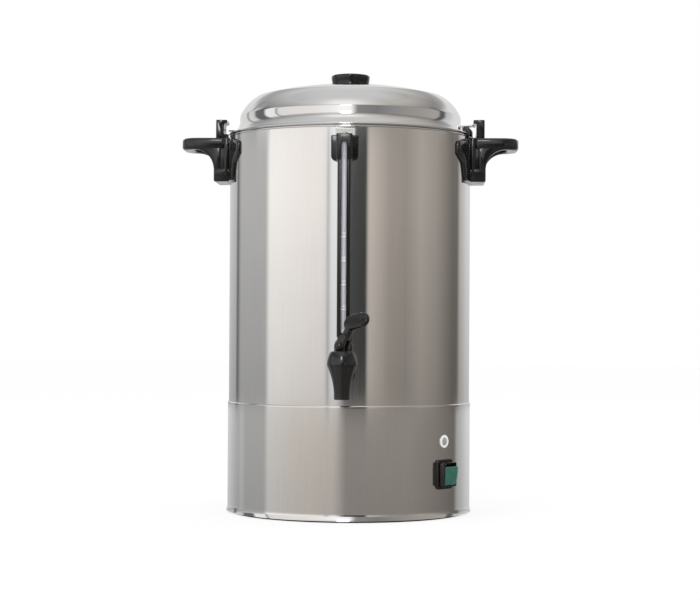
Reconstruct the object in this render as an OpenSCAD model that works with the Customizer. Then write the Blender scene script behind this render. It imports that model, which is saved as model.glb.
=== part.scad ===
// Coffee urn: a percolating tank on a heater base, with a sight gauge, a drip tap and a twist-lock lid.
// Millimetres. The origin is on the tank's axis at floor level, the tap faces -Y and +Z is up.

/* [Tank] */
// Outer diameter of the tank wall
tank_d = 260; // [230:1:300]
// Height of tank wall that shows above the base
tank_rise = 285.5; // [260:0.5:340]
// Thickness of the tank and lid sheet
sheet = 0.8; // [0.6:0.1:1.2]
// Length of tank wall that slips inside the base
tank_lap = 12; // [8:0.5:16]
// Thickness of the rolled rim at the top of the tank
rim_bead = 2.4; // [1.8:0.1:3]
// Height of the tank floor above the top edge of the base
floor_lift = 5; // [3:0.5:8]
// Diameter of the pump well in the tank floor
well_d = 64; // [58:1:80]
// Depth of the pump well
well_depth = 12; // [8:0.5:14]

/* [Base] */
// Height of the base skirt
base_h = 117; // [105:1:140]
// Thickness of the skirt sheet
skirt_t = 0.8; // [0.6:0.1:1.2]
// Height of the flare along the foot of the skirt
kick_h = 7; // [5:0.5:10]
// How far that flare stands proud of the skirt
kick_out = 1.2; // [0.8:0.1:2.4]
// Height of the foot ring below the skirt
foot_proud = 2; // [1:0.5:5]
// Radial width of the foot ring
foot_w = 18; // [12:1:24]
// Number of tie rods that clamp the base to the tank
tie_count = 3; // [3:1:5]
// Radius of the circle that the tie rods stand on
tie_circle_r = 98; // [92:1:100]

/* [Lid] */
// How far the lid's straight neck stands in from its hem
lid_step_in = 10.8; // [9:0.1:14]
// Height of the neck
lid_neck_h = 4.2; // [2:0.1:8]
// Height of the flare below the neck
lid_flare_h = 14.7; // [12:0.1:20]
// Thickness of the hem around the flare
lid_hem = 2.2; // [1.8:0.1:3]
// Radius of the lid's shoulder
lid_shoulder_r = 42; // [36:0.5:52]
// Depth of the collar that reaches into the tank
lid_collar_h = 13.9; // [10:0.1:20]
// Widest diameter of the knob
knob_d = 41.7; // [34:0.1:52]
// Height of the knob
knob_h = 13.6; // [12:0.1:24]
// Turn that locks the lid, in degrees
lock_turn = 12; // [11.5:0.5:16]

/* [Handles] */
// Reach of each grip from the tank's axis
grip_reach = 181.4; // [178:0.2:200]
// Thickness of the grip
grip_t = 12.5; // [10:0.5:16]
// Width of each handle along the tank
grip_w = 56; // [52:1:70]
// Width of the loop's outer bar
grip_bar = 12.5; // [10:0.5:16]
// Width of the loop's two arms
arm_w = 9; // [8:0.5:11]
// How far the leg stands off the tank
leg_t = 16; // [14:0.5:20]
// Height of the handle, leg and grip together
handle_h = 47; // [44:0.5:60]
// Height of the lid hooks above the grip
hook_h = 21; // [20:0.5:26]

/* [Gauge] */
// Distance from the tank wall to the middle of the gauge
gauge_off = 16; // [15:0.5:20]
// Width of the gauge guard
guard_w = 13.4; // [12:0.2:16]
// Width of the window in the guard
window_w = 5.4; // [4:0.2:7]
// Outer diameter of the gauge glass
glass_d = 8.6; // [8:0.1:9.4]
// Width of the gauge's top cap
cap_w = 28; // [24:0.5:34]
// Height of the gauge's top cap
cap_h = 26; // [22:0.5:32]

/* [Tap] */
// Distance from the tank wall to the spout's axis
tap_off = 44; // [42:0.5:56]
// Height of the tap's shank above the top edge of the base
shank_up = 33.5; // [28:0.5:44]
// Outer diameter of the spout's mouth
spout_d = 16; // [15:0.2:18]
// Length of the spout below the shank
spout_drop = 25.5; // [22:0.5:34]
// Diameter of the shank
shank_d = 15; // [14:0.2:15.4]
// Widest diameter of the bonnet
bonnet_d = 30.4; // [29:0.2:34]
// Height of the bonnet
bonnet_h = 14.4; // [13:0.2:18]
// Diameter of the valve stem
stem_d = 6; // [5:0.2:6.4]
// Direction of the lever, in degrees to the right of the front
lever_az = 60; // [0:1:75]
// Height of the thumb paddle's middle above the lever's pin
paddle_up = 25; // [23:0.5:32]
// Length of the thumb paddle
paddle_l = 25; // [22:0.5:32]
// Width of the thumb paddle
paddle_w = 16; // [12:0.5:20]
// Lift of the stem for each radian of the lever
cam_rate = 6.4; // [5:0.1:7]

/* [Controls] */
// Direction of the switch and lamp, in degrees to the right of the front
switch_az = 51.5; // [40:0.5:60]
// Height of the switch above the floor
switch_z = 47; // [42:0.5:54]
// Width of the switch's bezel
bezel_w = 25; // [24:0.5:28]
// Height of the switch's bezel
bezel_h = 31; // [30:0.5:36]
// Tilt of the rocker from its middle, in degrees
rocker_tilt = 9; // [6:0.5:10]
// Height of the pilot lamp above the floor
lamp_z = 81; // [78:0.5:90]
// Diameter of the pilot lamp's ring
lamp_d = 13.5; // [12:0.5:16]
// Height of the power inlet above the floor
inlet_z = 50; // [44:0.5:60]

/* [Brewing] */
// Outer diameter of the pump tube
tube_d = 10; // [9:0.2:12]
// Height of the pump tube above the tank floor
tube_rise = 258; // [240:1:300]
// Diameter of the filter basket
basket_d = 176; // [150:1:200]
// Height of the filter basket
basket_h = 86; // [60:1:100]
// Height of the basket's seat above the tank floor
basket_up = 144; // [130:1:170]

/* [Hidden] */
$fn = 96;

// Clearances
fit = 0.05;       // between pieces that are fixed together
loose = 0.3;      // between pieces that move past each other
over = 1;         // extra length of a cut, past the face that it opens
deep_cut = 20;    // depth of a cut that goes through a wall
smooth = 360;     // facets of a wide round that a thin piece seats on

// Heights and radii of the shells
tank_r = tank_d / 2;
tank_in = tank_r - sheet;
skirt_in = tank_r + 0.2;
skirt_r = skirt_in + skirt_t;
skirt_z = foot_proud;
seam_z = skirt_z + base_h;
tank_z = seam_z - tank_lap;
rim_z = seam_z + tank_rise;
floor_z = seam_z + floor_lift;
floor_under = floor_z - sheet;
well_z = floor_z - well_depth;
well_under = well_z - sheet;

// Base
shelf_w = 3.7;
flange_z = skirt_z + 3;
flange_w = 18;
hem_in = skirt_in - skirt_t;
plate_t = 1;
plate_z = flange_z - plate_t;
plate_r = hem_in - loose;
foot_r = plate_r - 3;
foot_in = foot_r - foot_w;
foot_count = 4;
foot_circle_r = (foot_r + foot_in) / 2;
foot_turn = 45;
foot_screw_reach = 4;
foot_screw_r = 2;
foot_head_r = 4;
foot_head_z = 0.6;
foot_sink = plate_z * 0.6;
tie_r = 3;
tie_foot_r = 7;
tie_foot_t = 1.5;
tie_nut_r = 5.8;
tie_nut_h = min(3, plate_z - foot_head_z);
tie_turn = -90;

// Lid: a chain of arcs, each given by the angle at which its outward normal stands above level
hem_r = lid_hem / 2;
hem_z = rim_z + 0.4 + hem_r;
hem_at = tank_r + 0.2;
neck_r = hem_at - lid_step_in;
flare_turn = 2 * atan(lid_step_in / lid_flare_h);
flare_r = lid_flare_h / sin(flare_turn);
flare_top = hem_z + lid_flare_h;
neck_top = flare_top + lid_neck_h;
brow_r = 4;
brow_a = 22.5;
crease_r = 5;
shoulder_a = 60.5;
crown_a = 75.5;
function dir(a) = [cos(a), sin(a)];
flare_c = [neck_r + flare_r, flare_top];
brow_c = [neck_r - brow_r, neck_top];
shoulder_c = brow_c + (brow_r - lid_shoulder_r) * dir(brow_a);
crease_c = shoulder_c + (lid_shoulder_r - crease_r) * dir(shoulder_a);
crown_start = crease_c + crease_r * dir(crown_a);
crown_r = crown_start[0] / cos(crown_a);
crown_c = [0, crown_start[1] - crown_r * sin(crown_a)];
apex_z = crown_c[1] + crown_r;
knob_z = apex_z + loose;
knob_screw_r = 2.5;
knob_screw_l = 8.5;
knob_hole_r = knob_screw_r + 0.08;
knob_head_r = 4.5;
knob_head_t = 2.5;
knob_washer_r = 8;
knob_washer_t = 1.2;
knob_washer_z = apex_z - sheet - loose - knob_washer_t;
knob_foot_r = 9;
collar_r = tank_in - 1.3;

// Lid lugs and the ears in them
lug_half = 5.2;
ear_half = 4;
ear_t = 1.2;
lug_inset = 2.1;
lug_proud = 2;
lug_h = 10.5;
lug_corner = 5;
lug_corner_rise = 4;
ear_rise = 7.6;
ear_proud = 5.8;
ear_tail = 2.6;
rivet_step = 4.6;
rivet_r = 1.5;
rivet_head_r = 2.4;
rivet_head_t = 0.9;
rivet_sink = 0.6;
lug_in = neck_r + lug_inset;
lug_out = hem_at + lug_proud;
lug_z = hem_z + hem_r + loose;
lug_top = hem_z + lug_h;
ear_z = hem_z + ear_rise;
ear_out = hem_at + ear_proud;
rivet_at = neck_r + rivet_step;
rivet_low = hem_z - rivet_sink;
ear_in = rivet_at - ear_tail;

// Handles
leg_in = tank_r + loose;
leg_r = tank_r + leg_t;
grip_top = rim_z - 2.5;
grip_z = grip_top - grip_t;
leg_z = grip_top - handle_h;
pad_r = tank_r + 4;
pad_top = grip_top - 6;
pad_wide = 67;
pad_mid = 54.5;
pad_low = 50.2;
pad_low_z = leg_z + 4;
pad_mid_z = leg_z + 17;
pad_wide_z = leg_z + 27;
pad_round = 5;
grip_round = 18;
loop_round = 9;
foot_round = 4;
arch_r = grip_reach - grip_bar - leg_r - 2;
hook_in = tank_r + 6.7;
hook_out = leg_r - 0.5;
hook_nose = ear_out - 2.6;
hook_half = 4.9;
hook_z = grip_top + hook_h - 4;
hook_top = grip_top + hook_h;
stop_in = lug_out - 0.4;
stop_from = lug_half + 0.4;
stop_half = 1.5;
stud_turn = 4.8;
stud_z = (leg_z + grip_z) / 2 + 1;
stud_r = 3;
stud_foot_r = 8;
stud_foot_t = 1.6;
stud_l = leg_t - 4;
nut_pocket_r = 6.5;
nut_seat = leg_r - 7.5;
nut_washer_r = 6.2;
nut_washer_t = 0.8;
nut_r = 5.7;
nut_h = 5;
nut_cap_h = 2;

// Gauge
gauge_r = tank_r + gauge_off;
glass_r = glass_d / 2;
bore_r = glass_r + loose;
guard_front = gauge_r + guard_w / 2;
collar_z = seam_z + 47;
collar_h = 23;
collar_od = 19;
boss_top = collar_z + 9;
guard_z = collar_z + collar_h;
cap_top = rim_z - 11.5;
cap_z = cap_top - cap_h;
cap_plate_t = 8;
cap_boss_w = guard_w + 2.8;
guard_top = cap_top - 5;
window_top = cap_top - 8;
glass_z = boss_top - 5.7;
glass_top = guard_top - 0.4;
strap_w = 20;
strap_t = 1.2;
strap_ledge_w = 16;
strap_ledge_l = 9;
strap_h = rim_z - cap_top - 4;
gauge_screw_at = tank_r + 4;
gauge_screw_r = 1.5;
gauge_screw_l = 9;
gauge_head_r = 2.7;
gauge_head_t = 1.8;
gauge_boss_r = 7;
gauge_way_r = 2.5;
seal_t = 1.3;

// Tap
tap_r = tank_r + tap_off;
shank_z = seam_z + shank_up;
shank_r = shank_d / 2;
spout_z = shank_z - spout_drop;
spout_r = spout_d / 2;
spout_top = shank_z + 8;
spout_top_r = bonnet_d / 2 - 0.2;
spout_straight = 3;
spout_sweep = spout_top - spout_z - spout_straight;
spout_flare = spout_top_r - spout_r;
spout_curve_r = (pow(spout_sweep, 2) + pow(spout_flare, 2)) / (2 * spout_flare);
seat_z = shank_z - 5;
chamber_r = 7.5;
water_r = 4.5;
neck_thread_r = 12;
neck_thread_h = 5.5;
bonnet_z = spout_top + 0.1;
bonnet_top = bonnet_z + bonnet_h;
bonnet_roof = bonnet_top - 5;
stem_r = stem_d / 2;
pin_z = bonnet_top + 5;
pin_r = 1.5;
heel = pin_z - bonnet_top - 0.15;
lever_open = 45;
tongue_t = 5;
cheek_t = 4;
hub_w = tongue_t + 2 * (cheek_t + loose);
seat_h = 9;
seat_r = 6.6;
seat_lip = 2;
seat_step = 5;
seat_top_r = 5.4;
stem_sunk = 3;
stem_flat_z = bonnet_roof - 1;
gasket_t = 2;
tap_flange_r = 11.5;
tap_flange_t = 3;
wall_sag = tank_r - sqrt(pow(tank_r, 2) - pow(tap_flange_r, 2));
flange_at = tank_r + gasket_t;
nut_at = tank_in - gasket_t - wall_sag;
tap_nut_h = 6;
tap_nut_r = 13.5;
shank_in = nut_at - tap_nut_h - 4;
spring_turns = 5;
spring_r = stem_r + 1.45;
wire_r = 0.5;
spring_z0 = seat_z + loose + seat_h + wire_r + 0.2;
spring_z1 = bonnet_roof - wire_r - 0.2;
rings_a_turn = 8;
wire_sides = 6;

// Switch, lamp and inlet
cut_w = 22;
cut_h = 28;
collar_w = 21;
collar_hgt = 25;
collar_out = 8.5;
bezel_t = 2;
wall_t = 1.2;
rocker_w = 18;
rocker_h = 20;
rocker_out = 11;
rocker_axis = 1.5;
trunnion_r = 1.6;
trunnion_l = collar_w - 1.2;
switch_in = 22;
blade_w = 6.3;
blade_t = 0.8;
blade_l = 8;
blade_held = 4.8;
blade_pitch = 8;
lamp_sleeve_r = 4.6;
lamp_sleeve_l = 14;
lens_r = 3.9;
inlet_w = 19.5;
inlet_h = 27;
inlet_flange_w = 24;
inlet_flange_h = 50;
inlet_in = 32;
inlet_out = 3;
inlet_seat = 4;
inlet_screw_gap = 40;
inlet_screw_r = 1.7;
inlet_screw_l = 9;
inlet_head_t = 1.6;
socket_w = 15.6;
socket_h = 23.4;
socket_deep = 16;
socket_chamfer = 4;
pin_t = 2;
pin_w = 4;
pin_tail = 8;

// Heaters
warm_r = 76;
warm_gap = 24;
element_r = 3.25;
element_drop = 10;
pin_out = 6;
boil_r = 19;
boil_gap = 50;
heater_r = 28;
heater_t = 6;
heater_z = well_under - fit - heater_t;
cutout_at = [46, 24];
thermostat_at = [-46, 24];
heater_stud_r = 2.5;
heater_stud_l = 9;
heater_nut_r = 4.6;
heater_nut_h = 4;
control_h = 9;
control_r = 8.5;
control_flange_r = 11;
control_flange_t = 1.5;
control_blade_w = 4.8;
control_blade_at = 5;
block_at = [0, 45];
block_size = [46, 20, 14];
block_pitch = 14;
block_side = 6;
block_hole_r = 2;
block_top = flange_z + fit + block_size[2];
lead_r = 1.4;
lead_gap = 0.8;

// Brewing
tube_r = tube_d / 2;
tube_z = well_z + 4;
tube_top = floor_z + tube_rise;
basket_r = basket_d / 2;
basket_z = floor_z + basket_up;
basket_top = basket_z + basket_h;
foot_bell_r = well_d / 2 - 5;
bell_h = 19;
bell_edge_h = 2.3;
bell_brow_h = 13.6;
bell_neck_t = 1;
bell_curl = 4;
bell_notch = 6;
sleeve_in = tube_r + loose;
sleeve_out = sleeve_in + sheet;
valve_z = tube_z + 1.3;

// Points along an arc around c, from angle a0 to a1
function arc(c, r, a0, a1, n = 10) = [for (i = [0 : n]) c + r * dir(a0 + (a1 - a0) * i / n)];

// The same points in the other order
function back(v) = [for (i = [len(v) - 1 : -1 : 0]) v[i]];

// An outline with four rounded corners
function rounded(x0, x1, y0, y1, r) = concat(
  arc([x1 - r, y1 - r], r, 0, 90, 6), arc([x0 + r, y1 - r], r, 90, 180, 6),
  arc([x0 + r, y0 + r], r, 180, 270, 6), arc([x1 - r, y0 + r], r, 270, 360, 6));

// The lid's section at a depth t below its outer face
function lid_line(t) = concat(
  arc(flare_c, flare_r + t, 180 + flare_turn, 180, 10), arc(brow_c, brow_r - t, 0, brow_a, 3),
  arc(shoulder_c, lid_shoulder_r - t, brow_a, shoulder_a, 10),
  arc(crease_c, crease_r - t, shoulder_a, crown_a, 5), arc(crown_c, crown_r - t, crown_a, 90, 8));

// A ring standing on the XY plane
module ring(r_out, r_in, h) {
  difference() {
    cylinder(r = r_out, h = h);
    translate([0, 0, -over]) cylinder(r = r_in, h = h + 2 * over);
  }
}

// A hexagonal nut around a thread of radius r
module hex_nut(r_out, r, h) {
  difference() {
    cylinder(r = r_out, h = h, $fn = 6);
    translate([0, 0, -over]) cylinder(r = r + fit, h = h + 2 * over);
  }
}

// A stretch of a turned section, from angle -half to half about the X axis's direction
module sector(half, outline) {
  rotate([0, 0, -half]) rotate_extrude(angle = 2 * half) polygon(outline);
}

// Direction of a path at its point i
function unit(v) = v / norm(v);
function heading(path, i) = unit(path[min(i + 1, len(path) - 1)] - path[max(i - 1, 0)]);

// A direction across the path at each of its points, carried along it without twisting
function across(path, s, i = 0) = i == len(path) ? [] :
  let (d = heading(path, i), side = unit(s - (s * d) * d)) concat([side], across(path, side, i + 1));

// A bent round bar along a path, with flat ends and a given number of sides
module tube(path, r, sides, start_side) {
  last = len(path) - 1;
  side = across(path, start_side);
  points = [for (i = [0 : last], j = [0 : sides - 1])
    let (a = 360 * j / sides) path[i] + r * (cos(a) * side[i] + sin(a) * cross(heading(path, i), side[i]))];
  walls = [for (i = [0 : last - 1], j = [0 : sides - 1], half = [0, 1])
    let (a = i * sides + j, b = i * sides + (j + 1) % sides)
    half == 0 ? [a, b + sides, b] : [a, a + sides, b + sides]];
  ends = [for (j = [1 : sides - 2], far = [0, 1])
    far == 0 ? [0, j, j + 1] : [last * sides, last * sides + j + 1, last * sides + j]];
  polyhedron(points, concat(walls, ends));
}

// A wire that leaves its first point toward the second and reaches its last point from the third
module lead(p) {
  steps = 10;
  path = [for (i = [0 : steps]) let (t = i / steps, u = 1 - t)
    u * u * u * p[0] + 3 * u * u * t * p[1] + 3 * u * t * t * p[2] + t * t * t * p[3]];
  tube(path, lead_r, 6, [0.7, 0.7, 0.2]);
}

// Places a piece on the skirt: its X runs along the wall, its Y up and its Z outward
module on_skirt(az, z) {
  rotate([0, 0, az]) translate([0, -skirt_r, z]) rotate([90, 0, 0]) children();
}

// The skirt's outer cylinder, seen from a piece on it
module skirt_round() {
  translate([0, 0, -skirt_r]) rotate([90, 0, 0])
    cylinder(r = skirt_r + fit, h = 2 * base_h, center = true, $fn = smooth);
}

// Places a piece on a horizontal axis that points from the tank's axis to the front
module along_front(y, z) {
  translate([0, -y, z]) rotate([90, 0, 0]) children();
}

// A copy on each side of the tank, turned half round
module both_sides() {
  for (a = [0, 180]) rotate([0, 0, a]) children();
}

// Repeats a piece around the tank's axis
module around(count, r, turn = 0) {
  for (i = [0 : count - 1]) rotate([0, 0, turn + 360 * i / count]) translate([r, 0, 0]) children();
}

module base_skirt() {
  lip_r = skirt_t + 0.4;
  kick_r = (pow(kick_h, 2) + pow(kick_out, 2)) / (2 * kick_out);
  kick_a = asin(kick_h / kick_r);
  color("silver") difference() {
    rotate_extrude() polygon(concat(
      [[hem_in, flange_z], [hem_in, skirt_z]],
      arc([skirt_r + kick_r, skirt_z + kick_h], kick_r, 180 + kick_a, 180, 8),
      arc([skirt_r - lip_r, seam_z - lip_r], lip_r, 0, 70, 5),
      [[skirt_in, seam_z - lip_r], [skirt_in, tank_z], [skirt_in - shelf_w, tank_z]],
      [[skirt_in - shelf_w, tank_z - skirt_t], [skirt_in, tank_z - skirt_t]],
      [[skirt_in, flange_z + skirt_t], [hem_in - flange_w, flange_z + skirt_t]],
      [[hem_in - flange_w, flange_z]]));
    on_skirt(switch_az, switch_z) cube([cut_w, cut_h, deep_cut], center = true);
    on_skirt(switch_az, lamp_z) cylinder(r = lamp_sleeve_r + fit, h = deep_cut, center = true);
    on_skirt(180, inlet_z) {
      cube([inlet_w + 2 * fit, inlet_h + 2 * fit, deep_cut], center = true);
      inlet_screw_holes();
    }
    translate([0, 0, flange_z - over]) around(foot_count, foot_circle_r, foot_turn)
      cylinder(r = foot_screw_r + fit, h = skirt_t + 2 * over);
  }
}

module bottom_plate() {
  vent_count = 12;
  vent_at = 60;
  vent_turn = 15;
  vent = [20, 3, deep_cut];
  color("darkgray") difference() {
    translate([0, 0, plate_z]) cylinder(r = plate_r, h = plate_t);
    around(tie_count, tie_circle_r, tie_turn) cylinder(r = tie_r + fit, h = deep_cut);
    around(foot_count, foot_circle_r, foot_turn) cylinder(r = foot_screw_r + fit, h = deep_cut);
    around(vent_count, vent_at, vent_turn) translate([0, 0, plate_z]) cube(vent, center = true);
  }
}

module foot_ring() {
  color("#1c1c1c") difference() {
    ring(foot_r, foot_in, plate_z);
    around(foot_count, foot_circle_r, foot_turn) translate([0, 0, -over]) {
      cylinder(r = foot_screw_r + fit, h = plate_z + 2 * over);
      cylinder(r = foot_head_r + loose, h = foot_sink + over);
    }
  }
}

module foot_screws() {
  color("gray") around(foot_count, foot_circle_r, foot_turn) translate([0, 0, foot_head_z]) {
    cylinder(r = foot_head_r, h = foot_sink - foot_head_z);
    cylinder(r = foot_screw_r, h = plate_z + foot_screw_reach);
  }
}

module tie_rods() {
  color("gray") around(tie_count, tie_circle_r, tie_turn) {
    translate([0, 0, floor_under - tie_foot_t]) cylinder(r = tie_foot_r, h = tie_foot_t);
    translate([0, 0, plate_z - tie_nut_h])
      cylinder(r = tie_r, h = floor_under - plate_z + tie_nut_h - over);
  }
}

module tie_nuts() {
  color("silver") translate([0, 0, plate_z - tie_nut_h]) around(tie_count, tie_circle_r, tie_turn)
    hex_nut(tie_nut_r, tie_r, tie_nut_h);
}

module tank_wall() {
  bead_at = [tank_r + 0.6 - rim_bead / 2, rim_z - rim_bead / 2];
  color("gainsboro") difference() {
    union() {
      translate([0, 0, tank_z]) ring(tank_r, tank_in, bead_at[1] - tank_z);
      rotate_extrude() translate(bead_at) circle(r = rim_bead / 2);
    }
    along_front(tank_in - deep_cut / 2, shank_z) cylinder(r = shank_r + fit, h = deep_cut);
  }
}

module tank_floor() {
  fold_r = 5;
  rim_r = tank_in - 0.1;
  skirt_end = tank_z + 2;
  well_r = well_d / 2;
  slope = 4;
  color("lightgray") {
    rotate_extrude() polygon(concat(
      [[0, well_under], [0, well_z], [well_r, well_z], [well_r + slope, floor_z]],
      back(arc([rim_r - fold_r, floor_z - fold_r], fold_r, 0, 90, 6)),
      [[rim_r, skirt_end], [rim_r - sheet, skirt_end]],
      arc([rim_r - fold_r, floor_z - fold_r], fold_r - sheet, 0, 90, 6),
      [[well_r + slope + sheet, floor_under], [well_r + sheet, well_under]]));
    translate([0, 0, heater_z - heater_stud_l])
      cylinder(r = heater_stud_r, h = heater_t + heater_stud_l + fit + sheet / 2);
  }
}

module heater_plate() {
  color("lightslategray") translate([0, 0, heater_z]) ring(heater_r, heater_stud_r + fit, heater_t);
}

// A tubular element bent round, with its two ends turned down and a pin out of each
module element(r, gap, drop) {
  bend = 2 * element_r;
  bend_a = bend / r * 180 / PI;
  start = gap / 2 + bend_a;
  turn = [for (i = [0 : 40]) let (a = start + (360 - 2 * start) * i / 40) [r * cos(a), r * sin(a), 0]];
  first = [for (b = [90 : -18 : 18]) let (a = start - bend_a * sin(b))
    [r * cos(a), r * sin(a), bend * (cos(b) - 1)]];
  low = [r * cos(gap / 2), r * sin(gap / 2), -drop];
  half = concat([low], first);
  tube(concat(half, turn, back([for (p = half) [p[0], -p[1], p[2]]])), element_r, 10, [1, 0, 0]);
  for (s = [-1, 1]) translate([low[0], s * low[1], -drop - pin_out]) cylinder(r = 1, h = pin_out + over);
}

module boil_element() {
  color("dimgray") translate([0, 0, heater_z - fit - element_r]) element(boil_r, boil_gap, element_drop);
}

module heater_nut() {
  color("silver") translate([0, 0, heater_z - fit - heater_nut_h])
    hex_nut(heater_nut_r, heater_stud_r, heater_nut_h);
}

module warm_element() {
  color("dimgray") translate([0, 0, floor_under - fit - element_r]) element(warm_r, warm_gap, element_drop);
}

// A disc thermostat under the tank floor, with two blades
module control() {
  top = floor_under - fit;
  translate([0, 0, top - control_flange_t]) cylinder(r = control_flange_r, h = control_flange_t);
  translate([0, 0, top - control_h]) cylinder(r = control_r, h = control_h);
  for (s = [-1, 1])
    translate([s * control_blade_at - control_blade_w / 2, -blade_t / 2, floor_under - control_h - blade_l])
      cube([control_blade_w, blade_t, blade_l + over]);
}

module thermostat() {
  color("saddlebrown") translate(thermostat_at) control();
}

module thermal_cutout() {
  color("#3a3a3a") translate(cutout_at) control();
}

module terminal_block() {
  hole_floor = 4;
  color("ivory") translate([block_at[0], block_at[1], flange_z + fit]) difference() {
    translate([-block_size[0] / 2, -block_size[1] / 2, 0]) cube(block_size);
    for (i = [-1 : 1], s = [-1, 1])
      translate([i * block_pitch, s * block_side, hole_floor])
        cylinder(r = block_hole_r, h = block_size[2]);
  }
}

// Where a wire enters the terminal block: column i, on the inlet's side of it (s = 1) or the other
function pole(i, s) = [block_at[0] + i * block_pitch, block_at[1] + s * block_side, block_top - over];

module wiring_loom() {
  tail = skirt_r - inlet_in - pin_tail - lead_gap;
  deep = skirt_r - switch_in - blade_l - lead_gap;
  inner = deep * [sin(switch_az), -cos(switch_az)];
  blade_low = floor_under - control_h - blade_l - lead_gap;
  warm_end = warm_r * [cos(warm_gap / 2), sin(warm_gap / 2)];
  warm_low = floor_under - fit - element_r - element_drop - pin_out - lead_gap;
  boil_end = boil_r * [cos(boil_gap / 2), sin(boil_gap / 2)];
  boil_low = heater_z - fit - element_r - element_drop - pin_out - lead_gap;
  rise = [0, 0, 20];
  line = inlet_z + inlet_pin_places()[0][1];
  neutral = inlet_z + inlet_pin_places()[1][1];
  pin_x = -inlet_pin_places()[0][0];
  color("firebrick") {
    lead([[pin_x, tail, line], [pin_x, tail - 12, line], pole(-1, 1) + rise, pole(-1, 1)]);
    lead([[pin_x, tail, neutral], [pin_x, tail - 12, neutral], pole(0, 1) + rise, pole(0, 1)]);
    lead([pole(1, -1), pole(1, -1) + rise, [40, -35, switch_z + blade_pitch],
      [inner[0], inner[1], switch_z + blade_pitch]]);
    lead([[inner[0], inner[1], switch_z - blade_pitch], [50, -40, 44], [53, 18, 84],
      [cutout_at[0] + control_blade_at, cutout_at[1], blade_low]]);
    lead([[cutout_at[0] - control_blade_at, cutout_at[1], blade_low], [38, 22, 84], [22, 10, 70],
      [boil_end[0], boil_end[1], boil_low]]);
    lead([[thermostat_at[0] + control_blade_at, thermostat_at[1], blade_low], [-40, 16, 82], [14, -14, 60],
      [boil_end[0], -boil_end[1], boil_low]]);
    lead([[thermostat_at[0] - control_blade_at, thermostat_at[1], blade_low], [-58, 34, 70],
      pole(-1, -1) + rise, pole(-1, -1)]);
    lead([[warm_end[0], warm_end[1], warm_low], [70, 24, 80], pole(1, 1) + rise, pole(1, 1)]);
  }
}

// Line, neutral and earth blades of the inlet
function inlet_pin_places() = [[3, 7], [3, -7], [-1.5, 0]];

// The holes for the inlet's two screws
module inlet_screw_holes() {
  for (s = [-1, 1]) translate([0, s * inlet_screw_gap / 2, 0])
    cylinder(r = inlet_screw_r + 0.1, h = deep_cut, center = true);
}

module power_inlet() {
  half_w = socket_w / 2;
  half_h = socket_h / 2;
  socket = [[-half_w, -half_h], [half_w - socket_chamfer, -half_h], [half_w, socket_chamfer - half_h],
    [half_w, half_h - socket_chamfer], [half_w - socket_chamfer, half_h], [-half_w, half_h]];
  slot = [pin_t + 2 * fit, pin_w + 2 * fit, inlet_in + over];
  flange = rounded(-inlet_flange_w / 2, inlet_flange_w / 2, -inlet_flange_h / 2, inlet_flange_h / 2, 4);
  color("#1a1a1a") on_skirt(180, inlet_z) difference() {
    union() {
      difference() {
        translate([0, 0, -inlet_seat]) linear_extrude(inlet_seat + inlet_out) polygon(flange);
        skirt_round();
      }
      translate([-inlet_w / 2, -inlet_h / 2, -inlet_in]) cube([inlet_w, inlet_h, inlet_in + inlet_out]);
    }
    translate([0, 0, inlet_out - socket_deep]) linear_extrude(socket_deep + over) polygon(socket);
    inlet_screw_holes();
    for (p = inlet_pin_places()) translate([p[0] - slot[0] / 2, p[1] - slot[1] / 2, -slot[2]]) cube(slot);
  }
}

module inlet_pins() {
  pin = [pin_t, pin_w, inlet_in + pin_tail];
  color("gold") on_skirt(180, inlet_z) for (p = inlet_pin_places())
    translate([p[0] - pin_t / 2, p[1] - pin_w / 2, -pin[2]]) cube(pin);
}

module inlet_screws() {
  color("silver") on_skirt(180, inlet_z) for (s = [-1, 1]) translate([0, s * inlet_screw_gap / 2, 0]) {
    translate([0, 0, -inlet_screw_l]) cylinder(r = inlet_screw_r, h = inlet_screw_l + inlet_out + over);
    translate([0, 0, inlet_out + fit]) cylinder(r1 = 3, r2 = 2.2, h = inlet_head_t);
  }
}

module switch_bezel() {
  seat = 2;
  well = 6;
  box = [cut_w - 2, cut_h - 2, switch_in];
  mouth = [collar_w - 2 * wall_t, collar_hgt - 2 * wall_t, collar_out + well + over];
  slot = [blade_w + 2 * fit, blade_t + 2 * fit, blade_held + fit + over];
  color("#202020") on_skirt(switch_az, switch_z) difference() {
    union() {
      difference() {
        translate([0, 0, -seat]) linear_extrude(seat + bezel_t)
          polygon(rounded(-bezel_w / 2, bezel_w / 2, -bezel_h / 2, bezel_h / 2, 3));
        skirt_round();
      }
      translate([0, 0, -seat]) linear_extrude(seat + collar_out)
        polygon(rounded(-collar_w / 2, collar_w / 2, -collar_hgt / 2, collar_hgt / 2, 2));
      translate([-box[0] / 2, -box[1] / 2, -box[2]]) cube(box);
    }
    translate([-mouth[0] / 2, -mouth[1] / 2, -well]) cube(mouth);
    translate([0, 0, rocker_axis]) rotate([0, 90, 0])
      cylinder(r = trunnion_r + fit, h = trunnion_l + 0.4, center = true);
    for (i = [-1 : 1])
      translate([-slot[0] / 2, i * blade_pitch - slot[1] / 2, -switch_in - over]) cube(slot);
  }
}

module switch_terminals() {
  blade = [blade_w, blade_t, blade_l + blade_held];
  color("gold") on_skirt(switch_az, switch_z) for (i = [-1 : 1])
    translate([-blade_w / 2, i * blade_pitch - blade_t / 2, -switch_in - blade_l]) cube(blade);
}

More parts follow.
